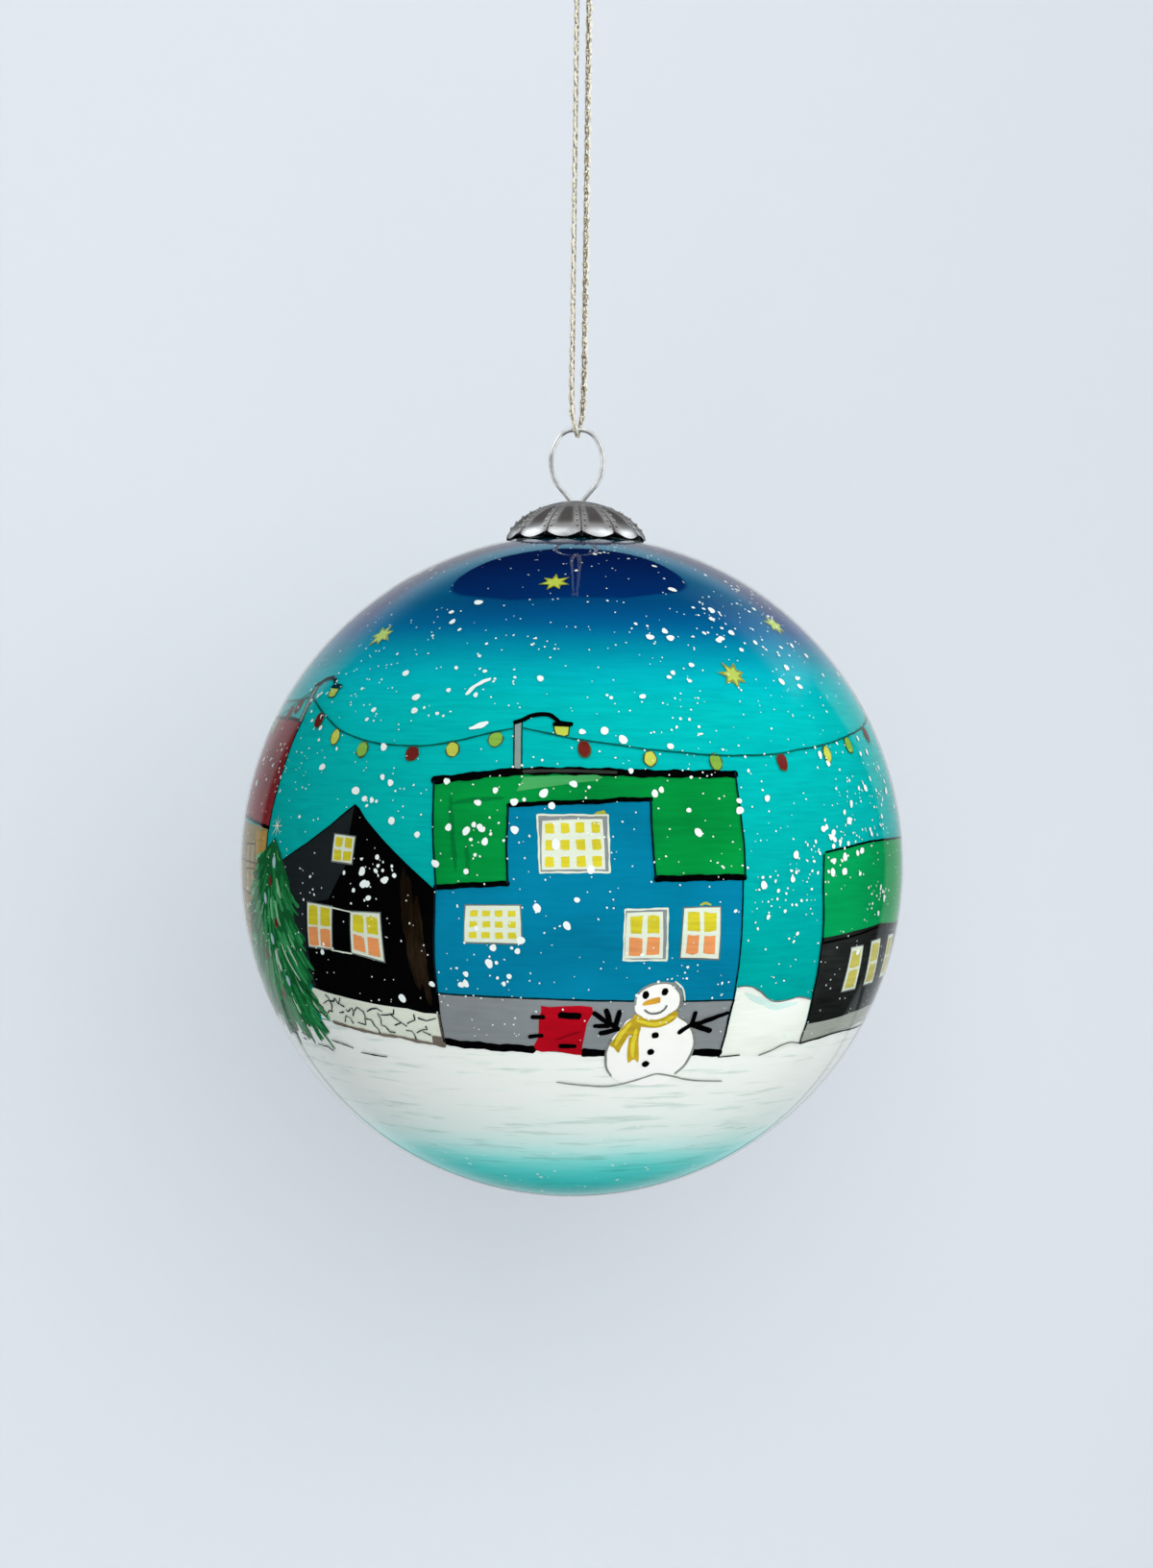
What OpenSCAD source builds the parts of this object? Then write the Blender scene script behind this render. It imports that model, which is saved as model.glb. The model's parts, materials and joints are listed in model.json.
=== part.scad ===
// Glass ball ornament with a village street painted inside it.
// The ball hangs by its wire loop from a cord, and the origin is the point
// inside the top of the cord loop where a hook or a twig carries it.

/* [Globe] */
// Outside diameter of the glass globe
globe_d = 80; // [70:1:90]
// Thickness of the glass
glass_t = 0.6; // [0.5:0.1:1]
// Outside diameter of the open neck
neck_d = 9; // [8.4:0.2:9.2]
// Height of the neck above the globe's surface
neck_h = 2.1; // [1.6:0.1:2.4]

/* [Cap] */
// Diameter over the rim of the fluted cap
cap_d = 16.9; // [15:0.1:18]
// Height of the domed part of the cap
cap_h = 4.85; // [4:0.05:6]
// Thickness of the cap's sheet metal
cap_t = 0.4; // [0.3:0.05:0.5]
// Number of petals round the cap
petals = 12; // [8:1:16]
// Height of the notch between two petals
notch_h = 0.75; // [0.4:0.05:1]

/* [Hanger] */
// Diameter of the spring wire
wire_d = 0.55; // [0.4:0.05:0.6]
// How far below the cap the two legs reach
leg_h = 18; // [12:1:22]

/* [Cord] */
// Diameter of the braided cord
cord_d = 0.95; // [0.7:0.05:1]
// Diameter of the cord where the wire squeezes it
pinch_d = 0.75; // [0.6:0.05:0.8]
// Width of the knot that closes the cord loop
knot_d = 3.4; // [2.8:0.1:4]

/* [Paint] */
// Thickness of one coat of paint
coat_t = 0.05; // [0.03:0.01:0.05]
// Height of the snow line below the globe's centre
snow_line = 17; // [14:0.5:20]
// Number of painted snowflakes
flakes = 110; // [40:10:160]

/* [Hidden] */
$fn = 96;
eps = 0.01;

globe_r = globe_d / 2;
inner_r = globe_r - glass_t;
neck_r = neck_d / 2;
neck_bore_r = neck_r - glass_t;
neck_top = globe_r + neck_h;
rim_z = 39.25 / 40 * globe_r;          // the cap's rim, just clear of the glass
cap_top = rim_z + cap_h;
ring_h = 8.6;                          // from the cap to the middle of the loop's top wire
ring_top = cap_top + ring_h;
hang_drop = 55.3;                      // from the hang point down to the loop's top wire
globe_z = -hang_drop - ring_top;       // the globe's centre
leg_x = 0.73;                          // half the distance between the cap's wire holes
wire_hole_r = 0.45;
collar_r = neck_r + 0.1;               // inside radius of the collar round the neck
collar_t = 0.35;
layer_pitch = 0.07;                    // from one layer of paint to the next
layer_gap = 0.02;                      // between the glass and the first layer
throat_gap = 0.2;                      // from the neck's bore to the edge of the paint
plan_r = inner_r;                      // radius at which the outlines are drawn

// Layers of paint, counted inwards from the glass.
FLAKES = 0;
LINES = 1;
SHAPES = 2;
FRONTS = 3;
BEHIND = 4;
GROUND = 5;

// ---- the cord ----
// Half of the route, from the knot down the left strand to the bottom of the bight.
// The other half is the same route turned half a turn about the vertical.
half_route = [[-0.6, 0, 1.4], [-0.7, 0, -3], [-0.7, 0, -9], [-0.7, 0, -15], [-0.7, 0, -21],
              [-0.7, 0, -27], [-0.7, 0, -33], [-0.7, 0, -39], [-0.7, -0.1, -45], [-0.7, -0.3, -50],
              [-0.6, -0.6, -53], [-0.4, -0.8, -54.4], [-0.2, -0.8, -55.2], [-0.1, -0.5, -55.8]];
bight_bottom = [0, 0, -56];
ring_steps = 2;                        // rings of the tube between two points of the route
cord_sides = 8;
function turned(p) = [-p.x, -p.y, p.z];
route = concat(half_route, [bight_bottom],
               [for (i = [len(half_route) - 1 : -1 : 0]) turned(half_route[i])]);
function clamp_index(i) = max(0, min(len(route) - 1, i));
function spline(p0, p1, p2, p3, t) =
    0.5 * (2 * p1 + (p2 - p0) * t + (2 * p0 - 5 * p1 + 4 * p2 - p3) * t * t
           + (3 * p1 - p0 - 3 * p2 + p3) * t * t * t);
cord_line = concat(
    [for (i = [0 : len(route) - 2]) for (k = [0 : ring_steps - 1])
        spline(route[clamp_index(i - 1)], route[i], route[i + 1], route[clamp_index(i + 2)],
               k / ring_steps)],
    [route[len(route) - 1]]);
function unit(v) = v / norm(v);
function heading(i) = unit(cord_line[min(i + 1, len(cord_line) - 1)] - cord_line[max(i - 1, 0)]);
pinch_z = -54.8;                       // below this the wire squeezes the cord
pinch_blend = 1.5;                     // height over which it comes back to full thickness
function cord_r(z) =
    (pinch_d + (cord_d - pinch_d) * max(0, min(1, (z - pinch_z) / pinch_blend))) / 2;

module hanging_cord() {
    rings = [for (i = [0 : len(cord_line) - 1])
        let (d = heading(i), side = unit(cross(d, [0.5, 1, 0])), up = cross(side, d))
        for (k = [0 : cord_sides - 1])
            cord_line[i] + cord_r(cord_line[i].z)
                * (side * cos(k * 360 / cord_sides) + up * sin(k * 360 / cord_sides))];
    last = len(cord_line) - 1;
    skin = [for (i = [0 : last - 1]) for (k = [0 : cord_sides - 1])
        let (a = i * cord_sides + k, b = i * cord_sides + (k + 1) % cord_sides)
        [a, b, b + cord_sides, a + cord_sides]];
    first_end = [for (k = [cord_sides - 1 : -1 : 0]) k];
    last_end = [for (k = [0 : cord_sides - 1]) last * cord_sides + k];
    color([0.74, 0.70, 0.58]) polyhedron(rings, concat([first_end], skin, [last_end]));
}

// Overhand knot in the doubled cord, with its two cut tails.
knot_z = 2.9;                          // middle of the knot
tail_h = 9.5;                          // top of the tails
tail_x = 0.75;
module cord_knot() color([0.74, 0.70, 0.58]) difference() {
    union() {
        translate([0, 0, knot_z]) sphere(d = knot_d);
        for (side = [-1, 1]) translate([side * tail_x, 0, knot_z]) cylinder(d = cord_d, h = tail_h - knot_z);
    }
    // flat face where the loop's two strands go in
    translate([-knot_d, -knot_d, 0]) cube([2 * knot_d, 2 * knot_d, half_route[0].z]);
}

// ---- the wire hanger ----
// Runs of one half of the wire, from the end of the loop's straight top outwards and down:
// [turning radius, heading at its end, length]. A heading is in degrees clockwise from
// straight out, and a run with no radius is straight.
wire_top = 0.8;                        // straight length at the top, which the cord carries
half_wire = [[2.2, 55, 0], [5.2, 115, 0], [3.2, 130, 0], [0, 130, 2.1],
             [0.9, 90, 0], [0, 90, 4.4], [1, 45, 0], [0, 45, 2.6], [1, 90, 0],
             [0, 90, leg_h - 8]];
joint_d = 1.03 * wire_d;               // the bead of metal that joins one run to the next
joint_gap = 0.02;                      // each run stops this far inside the bead
function turn_sign(from, to) = to > from ? 1 : -1;
function run_end(s, run) = run[0] == 0
    ? [s[0] + run[2] * cos(s[2]), s[1] - run[2] * sin(s[2]), s[2]]
    : let (k = turn_sign(s[2], run[1]) * run[0])
      [s[0] + k * (sin(run[1]) - sin(s[2])), s[1] + k * (cos(run[1]) - cos(s[2])), run[1]];
function run_start(i) = i == 0 ? [wire_top / 2, ring_top, 0] : run_end(run_start(i - 1), half_wire[i - 1]);

module straight_run(start, length)
    translate([start[0], 0, start[1]]) rotate([0, 90 + start[2], 0])
        translate([0, 0, joint_gap]) cylinder(d = wire_d, h = length - joint_gap, $fn = 32);

module curved_run(start, run) {
    k = turn_sign(start[2], run[1]);
    trim = joint_gap / run[0] * 180 / PI;
    turn = abs(run[1] - start[2]) - 2 * trim;
    first = (k > 0 ? 90 - run[1] : 270 - start[2]) + trim;
    translate([start[0] - k * run[0] * sin(start[2]), 0, start[1] - k * run[0] * cos(start[2])])
        rotate([90, 0, 0]) rotate([0, 0, first]) rotate_extrude(angle = turn)
            translate([run[0], 0]) circle(d = wire_d, $fn = 32);
}

module half_hanger() for (i = [0 : len(half_wire) - 1]) {
    start = run_start(i);
    translate([start[0], 0, start[1]]) sphere(d = joint_d, $fn = 32);
    if (half_wire[i][0] == 0)
        straight_run(start, half_wire[i][2] - (i == len(half_wire) - 1 ? 0 : joint_gap));
    else curved_run(start, half_wire[i]);
}

module at_globe() translate([0, 0, globe_z]) children();

module hanger_wire() color([0.8, 0.8, 0.8]) at_globe() {
    straight_run([-wire_top / 2, ring_top, 0], wire_top - joint_gap);
    half_hanger();
    mirror([1, 0, 0]) half_hanger();
}

// ---- the fluted cap ----
dome_power = 1.8;
dome_steps = 14;
seam_turn = 4.5;                       // degrees from the front to the first notch on its right
notch_half_w = 0.8;
collar_low = 1.1;                      // height of the collar's lower edge above the rim
collar_h = 2.4;
function dome_z(x, a, h) = h * pow(max(0, 1 - pow(x / a, dome_power)), 1 / dome_power);
function dome_line(a, h) = [for (i = [0 : dome_steps])
    let (x = a * sin(90 * i / dome_steps)) [x, dome_z(x, a, h)]];

module dome(a, h) rotate_extrude() polygon(concat([[0, -eps]], dome_line(a, h), [[a, -eps]]));

module cap_crown() color([0.66, 0.66, 0.66]) at_globe() translate([0, 0, rim_z]) difference() {
    a = cap_d / 2;
    union() {
        difference() {
            dome(a, cap_h);
            translate([0, 0, -eps]) dome(a - cap_t, cap_h - cap_t);
        }
        // collar that fits round the neck
        translate([0, 0, collar_low]) difference() {
            cylinder(r = collar_r + collar_t, h = collar_h);
            translate([0, 0, -eps]) cylinder(r = collar_r, h = collar_h + 2 * eps);
        }
    }
    for (side = [-1, 1]) translate([side * leg_x, 0, 0]) cylinder(r = wire_hole_r, h = cap_h + 1, $fn = 32);
    for (i = [0 : petals - 1]) rotate([0, 0, seam_turn + i * 360 / petals]) rotate([90, 0, 0])
        linear_extrude(height = a + 1)
            polygon([[-notch_half_w, -1], [-notch_half_w, 0], [0, notch_h], [notch_half_w, 0], [notch_half_w, -1]]);
}

// ---- the glass ----
module glass_globe() color([0.8, 0.9, 0.95, 0.35]) at_globe() difference() {
    union() {
        sphere(r = globe_r);
        cylinder(r = neck_r, h = neck_top);
    }
    sphere(r = inner_r);
    cylinder(r = neck_bore_r, h = neck_top + 1);
}

// ---- the paint, in thin layers inside the glass ----
function layer_r(layer) = inner_r - layer_gap - layer * layer_pitch;

module coat(layer) difference() {
    sphere(r = layer_r(layer));
    sphere(r = layer_r(layer) - coat_t);
    cylinder(r = neck_bore_r + throat_gap, h = globe_r);
}

// A flat drawing laid on the inside of the globe at a longitude (0 is the front,
// and positive is to its right) and a latitude, both in degrees.
module painted(layer, lon, lat = 0) intersection() {
    coat(layer);
    rotate([0, 0, lon]) rotate([90 - lat, 0, 0]) linear_extrude(height = globe_r) children();
}

// Places on the globe, [longitude, latitude], as points of a drawing centred on lon.
function seen(places, lon) =
    [for (p = places) plan_r * [cos(p[1]) * sin(p[0] - lon), sin(p[1])]];

module area(layer, lon, places) painted(layer, lon) polygon(seen(places, lon));

module line(layer, from, to, width) {
    lon = (from[0] + to[0]) / 2;
    ends = seen([from, to], lon);
    run = ends[1] - ends[0];
    painted(layer, lon) translate(ends[0]) rotate(atan2(run.y, run.x))
        translate([0, -width / 2]) square([norm(run), width]);
}

module dot(layer, place, r)
    rotate([0, 0, place[0]]) rotate([90 - place[1], 0, 0])
        translate([0, 0, layer_r(layer) - coat_t]) cylinder(r = r, h = coat_t - r * r / inner_r / 2, $fn = 24);

module sky_coat() color([0.0, 0.62, 0.66]) at_globe() difference() {
    coat(GROUND);
    translate([-globe_r, -globe_r, -globe_d - snow_line]) cube(globe_d);
}

module snow_coat() color([0.92, 0.95, 0.93]) at_globe() intersection() {
    coat(GROUND);
    translate([-globe_r, -globe_r, -globe_d - snow_line]) cube(globe_d);
}

// -- the blue house, in the middle of the front --
BLUE = 3;                              // longitude of its middle
blue_foot = [[-23, -19], [-6, -19.5], [29, -19.5]];
blue_step = [[28.5, 0.5], [13, 0.5], [12.5, 12.5], [-10.5, 12], [-10.5, -0.5], [-22, -1.5]];
blue_ridge = [[-23.5, 15.5], [-7, 17], [6, 17.5], [28, 17]];
module blue_house() color([0.0, 0.45, 0.65]) at_globe() area(FRONTS, BLUE, concat(blue_foot, blue_step));
module blue_house_roof() color([0.0, 0.52, 0.22]) at_globe() area(FRONTS, BLUE, concat(blue_ridge, blue_step));
module blue_house_base() color([0.55, 0.57, 0.6]) at_globe()
    area(FRONTS, BLUE, concat(blue_foot, [[29.5, -29], [-6, -29], [-23.5, -27.5]]));
module red_door() color([0.78, 0.08, 0.16]) at_globe()
    area(SHAPES, BLUE, [[-5, -20.5], [3.5, -20.5], [4, -22], [2.5, -29], [-6, -29]]);

// -- its neighbours on the left --
BLACK = -38;
black_foot = [[-49.5, -20], [-23.5, -22.5]];
module black_house() color([0.05, 0.05, 0.05]) at_globe()
    area(BEHIND, BLACK, concat(black_foot, [[-22.5, -1.5], [-29, 2.5], [-38.5, 11], [-57.5, 1.5]]));
module stone_wall() color([0.88, 0.9, 0.87]) at_globe()
    area(BEHIND, BLACK, concat(black_foot, [[-23.5, -28.5], [-49, -26]]));

TALL = -79;
tall_eaves = [[-64, 7], [-95, 7]];
module tall_house() color([0.75, 0.58, 0.38]) at_globe()
    area(BEHIND, TALL, concat(tall_eaves, [[-94, -26], [-66, -26]]));
module tall_house_roof() color([0.55, 0.2, 0.26]) at_globe()
    area(BEHIND, TALL, concat(tall_eaves, [[-93, 26], [-62, 26]]));

// -- its neighbour on the right --
GREEN = 69;
green_eaves = [[47, -10.5], [92, -9.5]];
module green_house() color([0.08, 0.09, 0.09]) at_globe()
    area(FRONTS, GREEN, concat(green_eaves, [[91, -28], [49.5, -29]]));
module green_house_roof() color([0.04, 0.5, 0.28]) at_globe()
    area(FRONTS, GREEN, concat(green_eaves, [[92, 5.5], [46, 4.5]]));
module snow_drift() color([0.95, 0.97, 0.95]) at_globe()
    area(BEHIND, 37, [[26, -17.5], [32.5, -17.5], [34.5, -18.5], [39, -19], [45.5, -21], [52, -26], [26, -26]]);

// -- the rest of the street, round the back --
module cottage(lon, half_w, eaves, ridge)
    area(FRONTS, lon, [[lon - half_w, -27], [lon + half_w, -27], [lon + half_w, eaves],
                       [lon, ridge], [lon - half_w, eaves]]);
module yellow_house() color([0.88, 0.7, 0.2]) at_globe() cottage(118, 16, 4, 15);
module red_cottage() color([0.62, 0.14, 0.12]) at_globe() cottage(164, 18, -3, 9);
module lilac_house() color([0.5, 0.42, 0.66]) at_globe() cottage(-143, 14, 6, 18);

// -- fir trees --
// [longitude and latitude of the tip, longitude of the foot, latitude of the foot, half width]
firs = [[[-60.5, 4.5], [-66, -25], 13], [[-116, 3], [-116, -25], 9], [[140, -4], [140, -26], 6]];
tiers = 3;
module fir(tip, foot, half_w) {
    lon = foot[0];
    side = [for (i = [0 : tiers - 1]) each [
        [(i + 1) / tiers, 1], [(i + 1) / tiers, i == tiers - 1 ? 0.2 : 0.55]]];
    half = function (s) [for (p = side) [
        tip[0] + (foot[0] - tip[0]) * p[0] + s * half_w * p[0] * p[1],
        tip[1] + (foot[1] - tip[1]) * p[0]]];
    right = half(1);
    left = half(-1);
    area(SHAPES, lon, concat([tip], right, [for (i = [len(left) - 1 : -1 : 0]) left[i]]));
}
module fir_trees() color([0.1, 0.5, 0.3]) at_globe() for (f = firs) fir(f[0], f[1], f[2]);

// -- the snowman in front of the blue house --
SNOWMAN = 15;
snow_body = [0, -18.5, 5.3, 3.9];      // centre and half sizes of an oval, in mm
snow_head = [0, -13, 2.8, 2.2];
function oval(o) = [for (a = [0 : 15 : 345]) [o[0] + o[2] * cos(a), o[1] + o[3] * sin(a)]];
module snowman() color([0.95, 0.96, 0.92]) at_globe() painted(SHAPES, SNOWMAN) {
    polygon(oval(snow_body));
    polygon(oval(snow_head));
}
module snowman_scarf() color([0.88, 0.78, 0.15]) at_globe()
    area(LINES, SNOWMAN, [[10.5, -21.5], [15.5, -23], [19, -21.5], [18.5, -22.5], [14.5, -24],
                          [12.5, -29.5], [9.5, -28.5]]);
module snowman_arms() color([0.06, 0.06, 0.06]) at_globe() {
    line(LINES, [8.5, -25], [6, -23], 0.45);
    line(LINES, [6, -23], [4, -21.5], 0.35);
    line(LINES, [20.5, -25], [28.5, -22], 0.45);
}

// -- windows: [longitude, latitude, width, height, columns, rows] --
windows = [[0.5, 5.5, 8, 6, 4, 3], [-12.5, -7, 6.5, 4, 4, 3], [12, -8.5, 4.5, 5.5, 2, 2],
           [21.5, -8.5, 4, 5.5, 2, 2], [-40, 4, 3, 3, 2, 2], [-46.5, -9, 4, 5, 2, 2],
           [-36.5, -9.5, 4, 5, 2, 2], [-75, -3, 4, 5, 2, 2], [58.5, -15.5, 2.5, 5, 1, 2],
           [67, -15, 2.5, 5, 1, 2], [75.5, -14.5, 2.5, 5, 1, 2], [111, -6, 4.4, 5, 2, 2],
           [125, -6, 4.4, 5, 2, 2], [156, -10, 4, 4.6, 2, 2], [172, -10, 4, 4.6, 2, 2],
           [-149, -4, 4, 5, 2, 2], [-137, -4, 4, 5, 2, 2]];
bar_w = 0.55;                          // width of a window's bars
module window_frames() color([0.88, 0.9, 0.86]) at_globe() for (w = windows)
    painted(SHAPES, w[0], w[1]) square([w[2], w[3]], center = true);
module window_panes() color([0.85, 0.78, 0.2]) at_globe() for (w = windows) {
    pane_w = (w[2] - bar_w) / w[4];
    pane_h = (w[3] - bar_w) / w[5];
    painted(LINES, w[0], w[1]) for (i = [0 : w[4] - 1]) for (j = [0 : w[5] - 1])
        translate([(i + 0.5 - w[4] / 2) * pane_w, (j + 0.5 - w[5] / 2) * pane_h])
            square([pane_w - bar_w, pane_h - bar_w], center = true);
}

// -- street lamps, and the string of lights between them --
lamps = [[-65, 32], [-9.5, 25.5], [78, 26], [141, 25], [-168, 25], [-112, 27]];
module street_lamps() color([0.3, 0.32, 0.34]) at_globe() for (p = lamps) {
    line(SHAPES, p, [p[0] - 0.4, 14], 1);
    line(SHAPES, p, [p[0] + 6, p[1] + 1], 0.6);
    line(SHAPES, [p[0] + 6, p[1] + 0.8], [p[0] + 8.6, p[1] - 0.6], 1.1);
}

sag = 5;                               // degrees of latitude
spans = 6;                             // straight pieces of string between two lamps
function next_lamp(i) = let (n = lamps[(i + 1) % len(lamps)])
    [n[0] + (n[0] < lamps[i][0] ? 360 : 0), n[1]];
function on_string(i, t) = lamps[i] + (next_lamp(i) - lamps[i]) * t - [0, 1 + 4 * sag * t * (1 - t)];
string_gap = 0.003;                    // left at each end of a piece, as a share of the whole string
module light_string() color([0.05, 0.3, 0.32]) at_globe() for (i = [0 : len(lamps) - 1])
    for (k = [0 : spans - 1])
        line(LINES, on_string(i, k / spans + string_gap), on_string(i, (k + 1) / spans - string_gap), 0.25);
bulb_r = 0.85;
bulb_drop = 1.3;                       // degrees of latitude from the string to a bulb's middle
module light_bulbs() color([0.8, 0.75, 0.2]) at_globe() for (i = [0 : len(lamps) - 1])
    for (k = [0.5 : spans]) dot(FLAKES, on_string(i, k / spans) - [0, bulb_drop + bulb_r], bulb_r);

// -- stars and falling snow --
star_places = [[-6.5, 57], [-50, 43], [33.5, 35], [60, 47], [110, 40], [165, 52], [-125, 42], [-90, 58]];
star_rays = 8;
module stars() color([0.82, 0.78, 0.2]) at_globe() for (p = star_places) painted(LINES, p[0], p[1])
    polygon([for (i = [0 : 2 * star_rays - 1]) (i % 2 == 0 ? 1.7 : 0.7)
        * [sin(i * 180 / star_rays), cos(i * 180 / star_rays)]]);

golden_angle = 137.508;
// The bulbs share the snowflakes' layer, so no flake is drawn in the band they hang in.
function in_bulb_band(lat) = lat > 14 && lat < 32;
module snowfall() color([0.96, 0.98, 0.97]) at_globe() for (i = [1 : flakes]) {
    lat = -28 + 96 * i / flakes;
    if (!in_bulb_band(lat)) dot(FLAKES, [i * golden_angle, lat], 0.2 + 0.4 * ((i * 7) % 10) / 10);
}

hanging_cord();
cord_knot();
hanger_wire();
cap_crown();
glass_globe();
sky_coat();
snow_coat();
blue_house();
blue_house_roof();
blue_house_base();
red_door();
black_house();
stone_wall();
tall_house();
tall_house_roof();
green_house();
green_house_roof();
yellow_house();
red_cottage();
lilac_house();
snow_drift();
fir_trees();
snowman();
snowman_scarf();
snowman_arms();
window_frames();
window_panes();
street_lamps();
light_string();
light_bulbs();
stars();
snowfall();
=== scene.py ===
"""The looks of a hanging glass ball with a winter street painted inside it.

Lengths are in metres unless a name ends in _MM. Places in the painting are (longitude, latitude)
in degrees on the globe: longitude 0 is the front and grows to the right, latitude 0 is the equator.
"""

import json
import math
import random

import bpy
import numpy as np
from mathutils import Matrix, Vector
from mathutils.geometry import delaunay_2d_cdt

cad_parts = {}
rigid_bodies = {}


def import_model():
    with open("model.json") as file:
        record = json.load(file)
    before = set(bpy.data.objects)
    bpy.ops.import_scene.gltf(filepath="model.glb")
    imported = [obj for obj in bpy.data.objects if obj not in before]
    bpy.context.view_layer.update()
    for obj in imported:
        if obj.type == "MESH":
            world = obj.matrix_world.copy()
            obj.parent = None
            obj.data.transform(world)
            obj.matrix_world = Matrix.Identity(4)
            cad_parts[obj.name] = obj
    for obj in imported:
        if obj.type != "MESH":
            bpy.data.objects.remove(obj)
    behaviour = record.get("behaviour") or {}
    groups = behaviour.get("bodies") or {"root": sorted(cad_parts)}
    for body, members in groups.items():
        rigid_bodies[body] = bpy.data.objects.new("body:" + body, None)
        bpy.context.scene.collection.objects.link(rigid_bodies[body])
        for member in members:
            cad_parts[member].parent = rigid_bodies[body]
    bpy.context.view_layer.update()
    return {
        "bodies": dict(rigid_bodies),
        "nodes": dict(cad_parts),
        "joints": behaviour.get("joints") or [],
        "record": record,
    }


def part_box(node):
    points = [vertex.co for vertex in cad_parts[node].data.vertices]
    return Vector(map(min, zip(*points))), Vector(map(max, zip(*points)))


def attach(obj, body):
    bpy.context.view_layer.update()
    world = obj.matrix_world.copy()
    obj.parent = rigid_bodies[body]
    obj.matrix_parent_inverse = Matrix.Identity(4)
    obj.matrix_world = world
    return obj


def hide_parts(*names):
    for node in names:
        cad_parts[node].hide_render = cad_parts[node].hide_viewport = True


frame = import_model()

MM = 0.001


# ---- measures read from the frame ----

def width(node):
    low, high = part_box(node)
    return high.x - low.x


GLOBE_R = width("glass_globe") / 2
GLASS_T = 0.6 * MM
CENTRE = Vector((0, 0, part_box("glass_globe")[0].z + GLOBE_R))
NECK_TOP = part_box("glass_globe")[1].z
NECK_R = 4.5 * MM
CAP_R = width("cap_crown") / 2
CAP_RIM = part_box("cap_crown")[0].z
CAP_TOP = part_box("cap_crown")[1].z
LOOP_TOP = -55.3 * MM
WIRE_R = 0.275 * MM


# ---- camera ----

def make_camera(distance, elevation, roll, aim, lens):
    """A camera that looks at the globe from the front, rolled by a small angle (degrees)."""
    up_angle = math.radians(elevation)
    place = CENTRE + distance * Vector((0, -math.cos(up_angle), math.sin(up_angle)))
    forward = (CENTRE + aim - place).normalized()
    right = forward.cross(Vector((0, 0, 1))).normalized()
    up = right.cross(forward)
    c, s = math.cos(math.radians(roll)), math.sin(math.radians(roll))
    right, up = right * c + up * s, up * c - right * s
    camera = bpy.data.objects.new("camera", bpy.data.cameras.new("camera"))
    bpy.context.scene.collection.objects.link(camera)
    turn = Matrix((right, up, -forward)).transposed().to_4x4()
    camera.matrix_world = Matrix.Translation(place) @ turn
    camera.data.lens = lens
    camera.data.clip_start = 0.01
    camera.data.clip_end = 20
    bpy.context.scene.camera = camera


make_camera(distance=0.34, elevation=2.5, roll=0.75, aim=Vector((0.45, 0, 9.8)) * MM, lens=64.24)


# ---- node materials ----

def linear(colour):
    """An (r, g, b) in 0 to 255 as a linear colour with alpha."""
    def one(v):
        v /= 255
        return v / 12.92 if v <= 0.04045 else ((v + 0.055) / 1.055) ** 2.4
    return tuple(one(v) for v in colour) + (1.0,)


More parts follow.
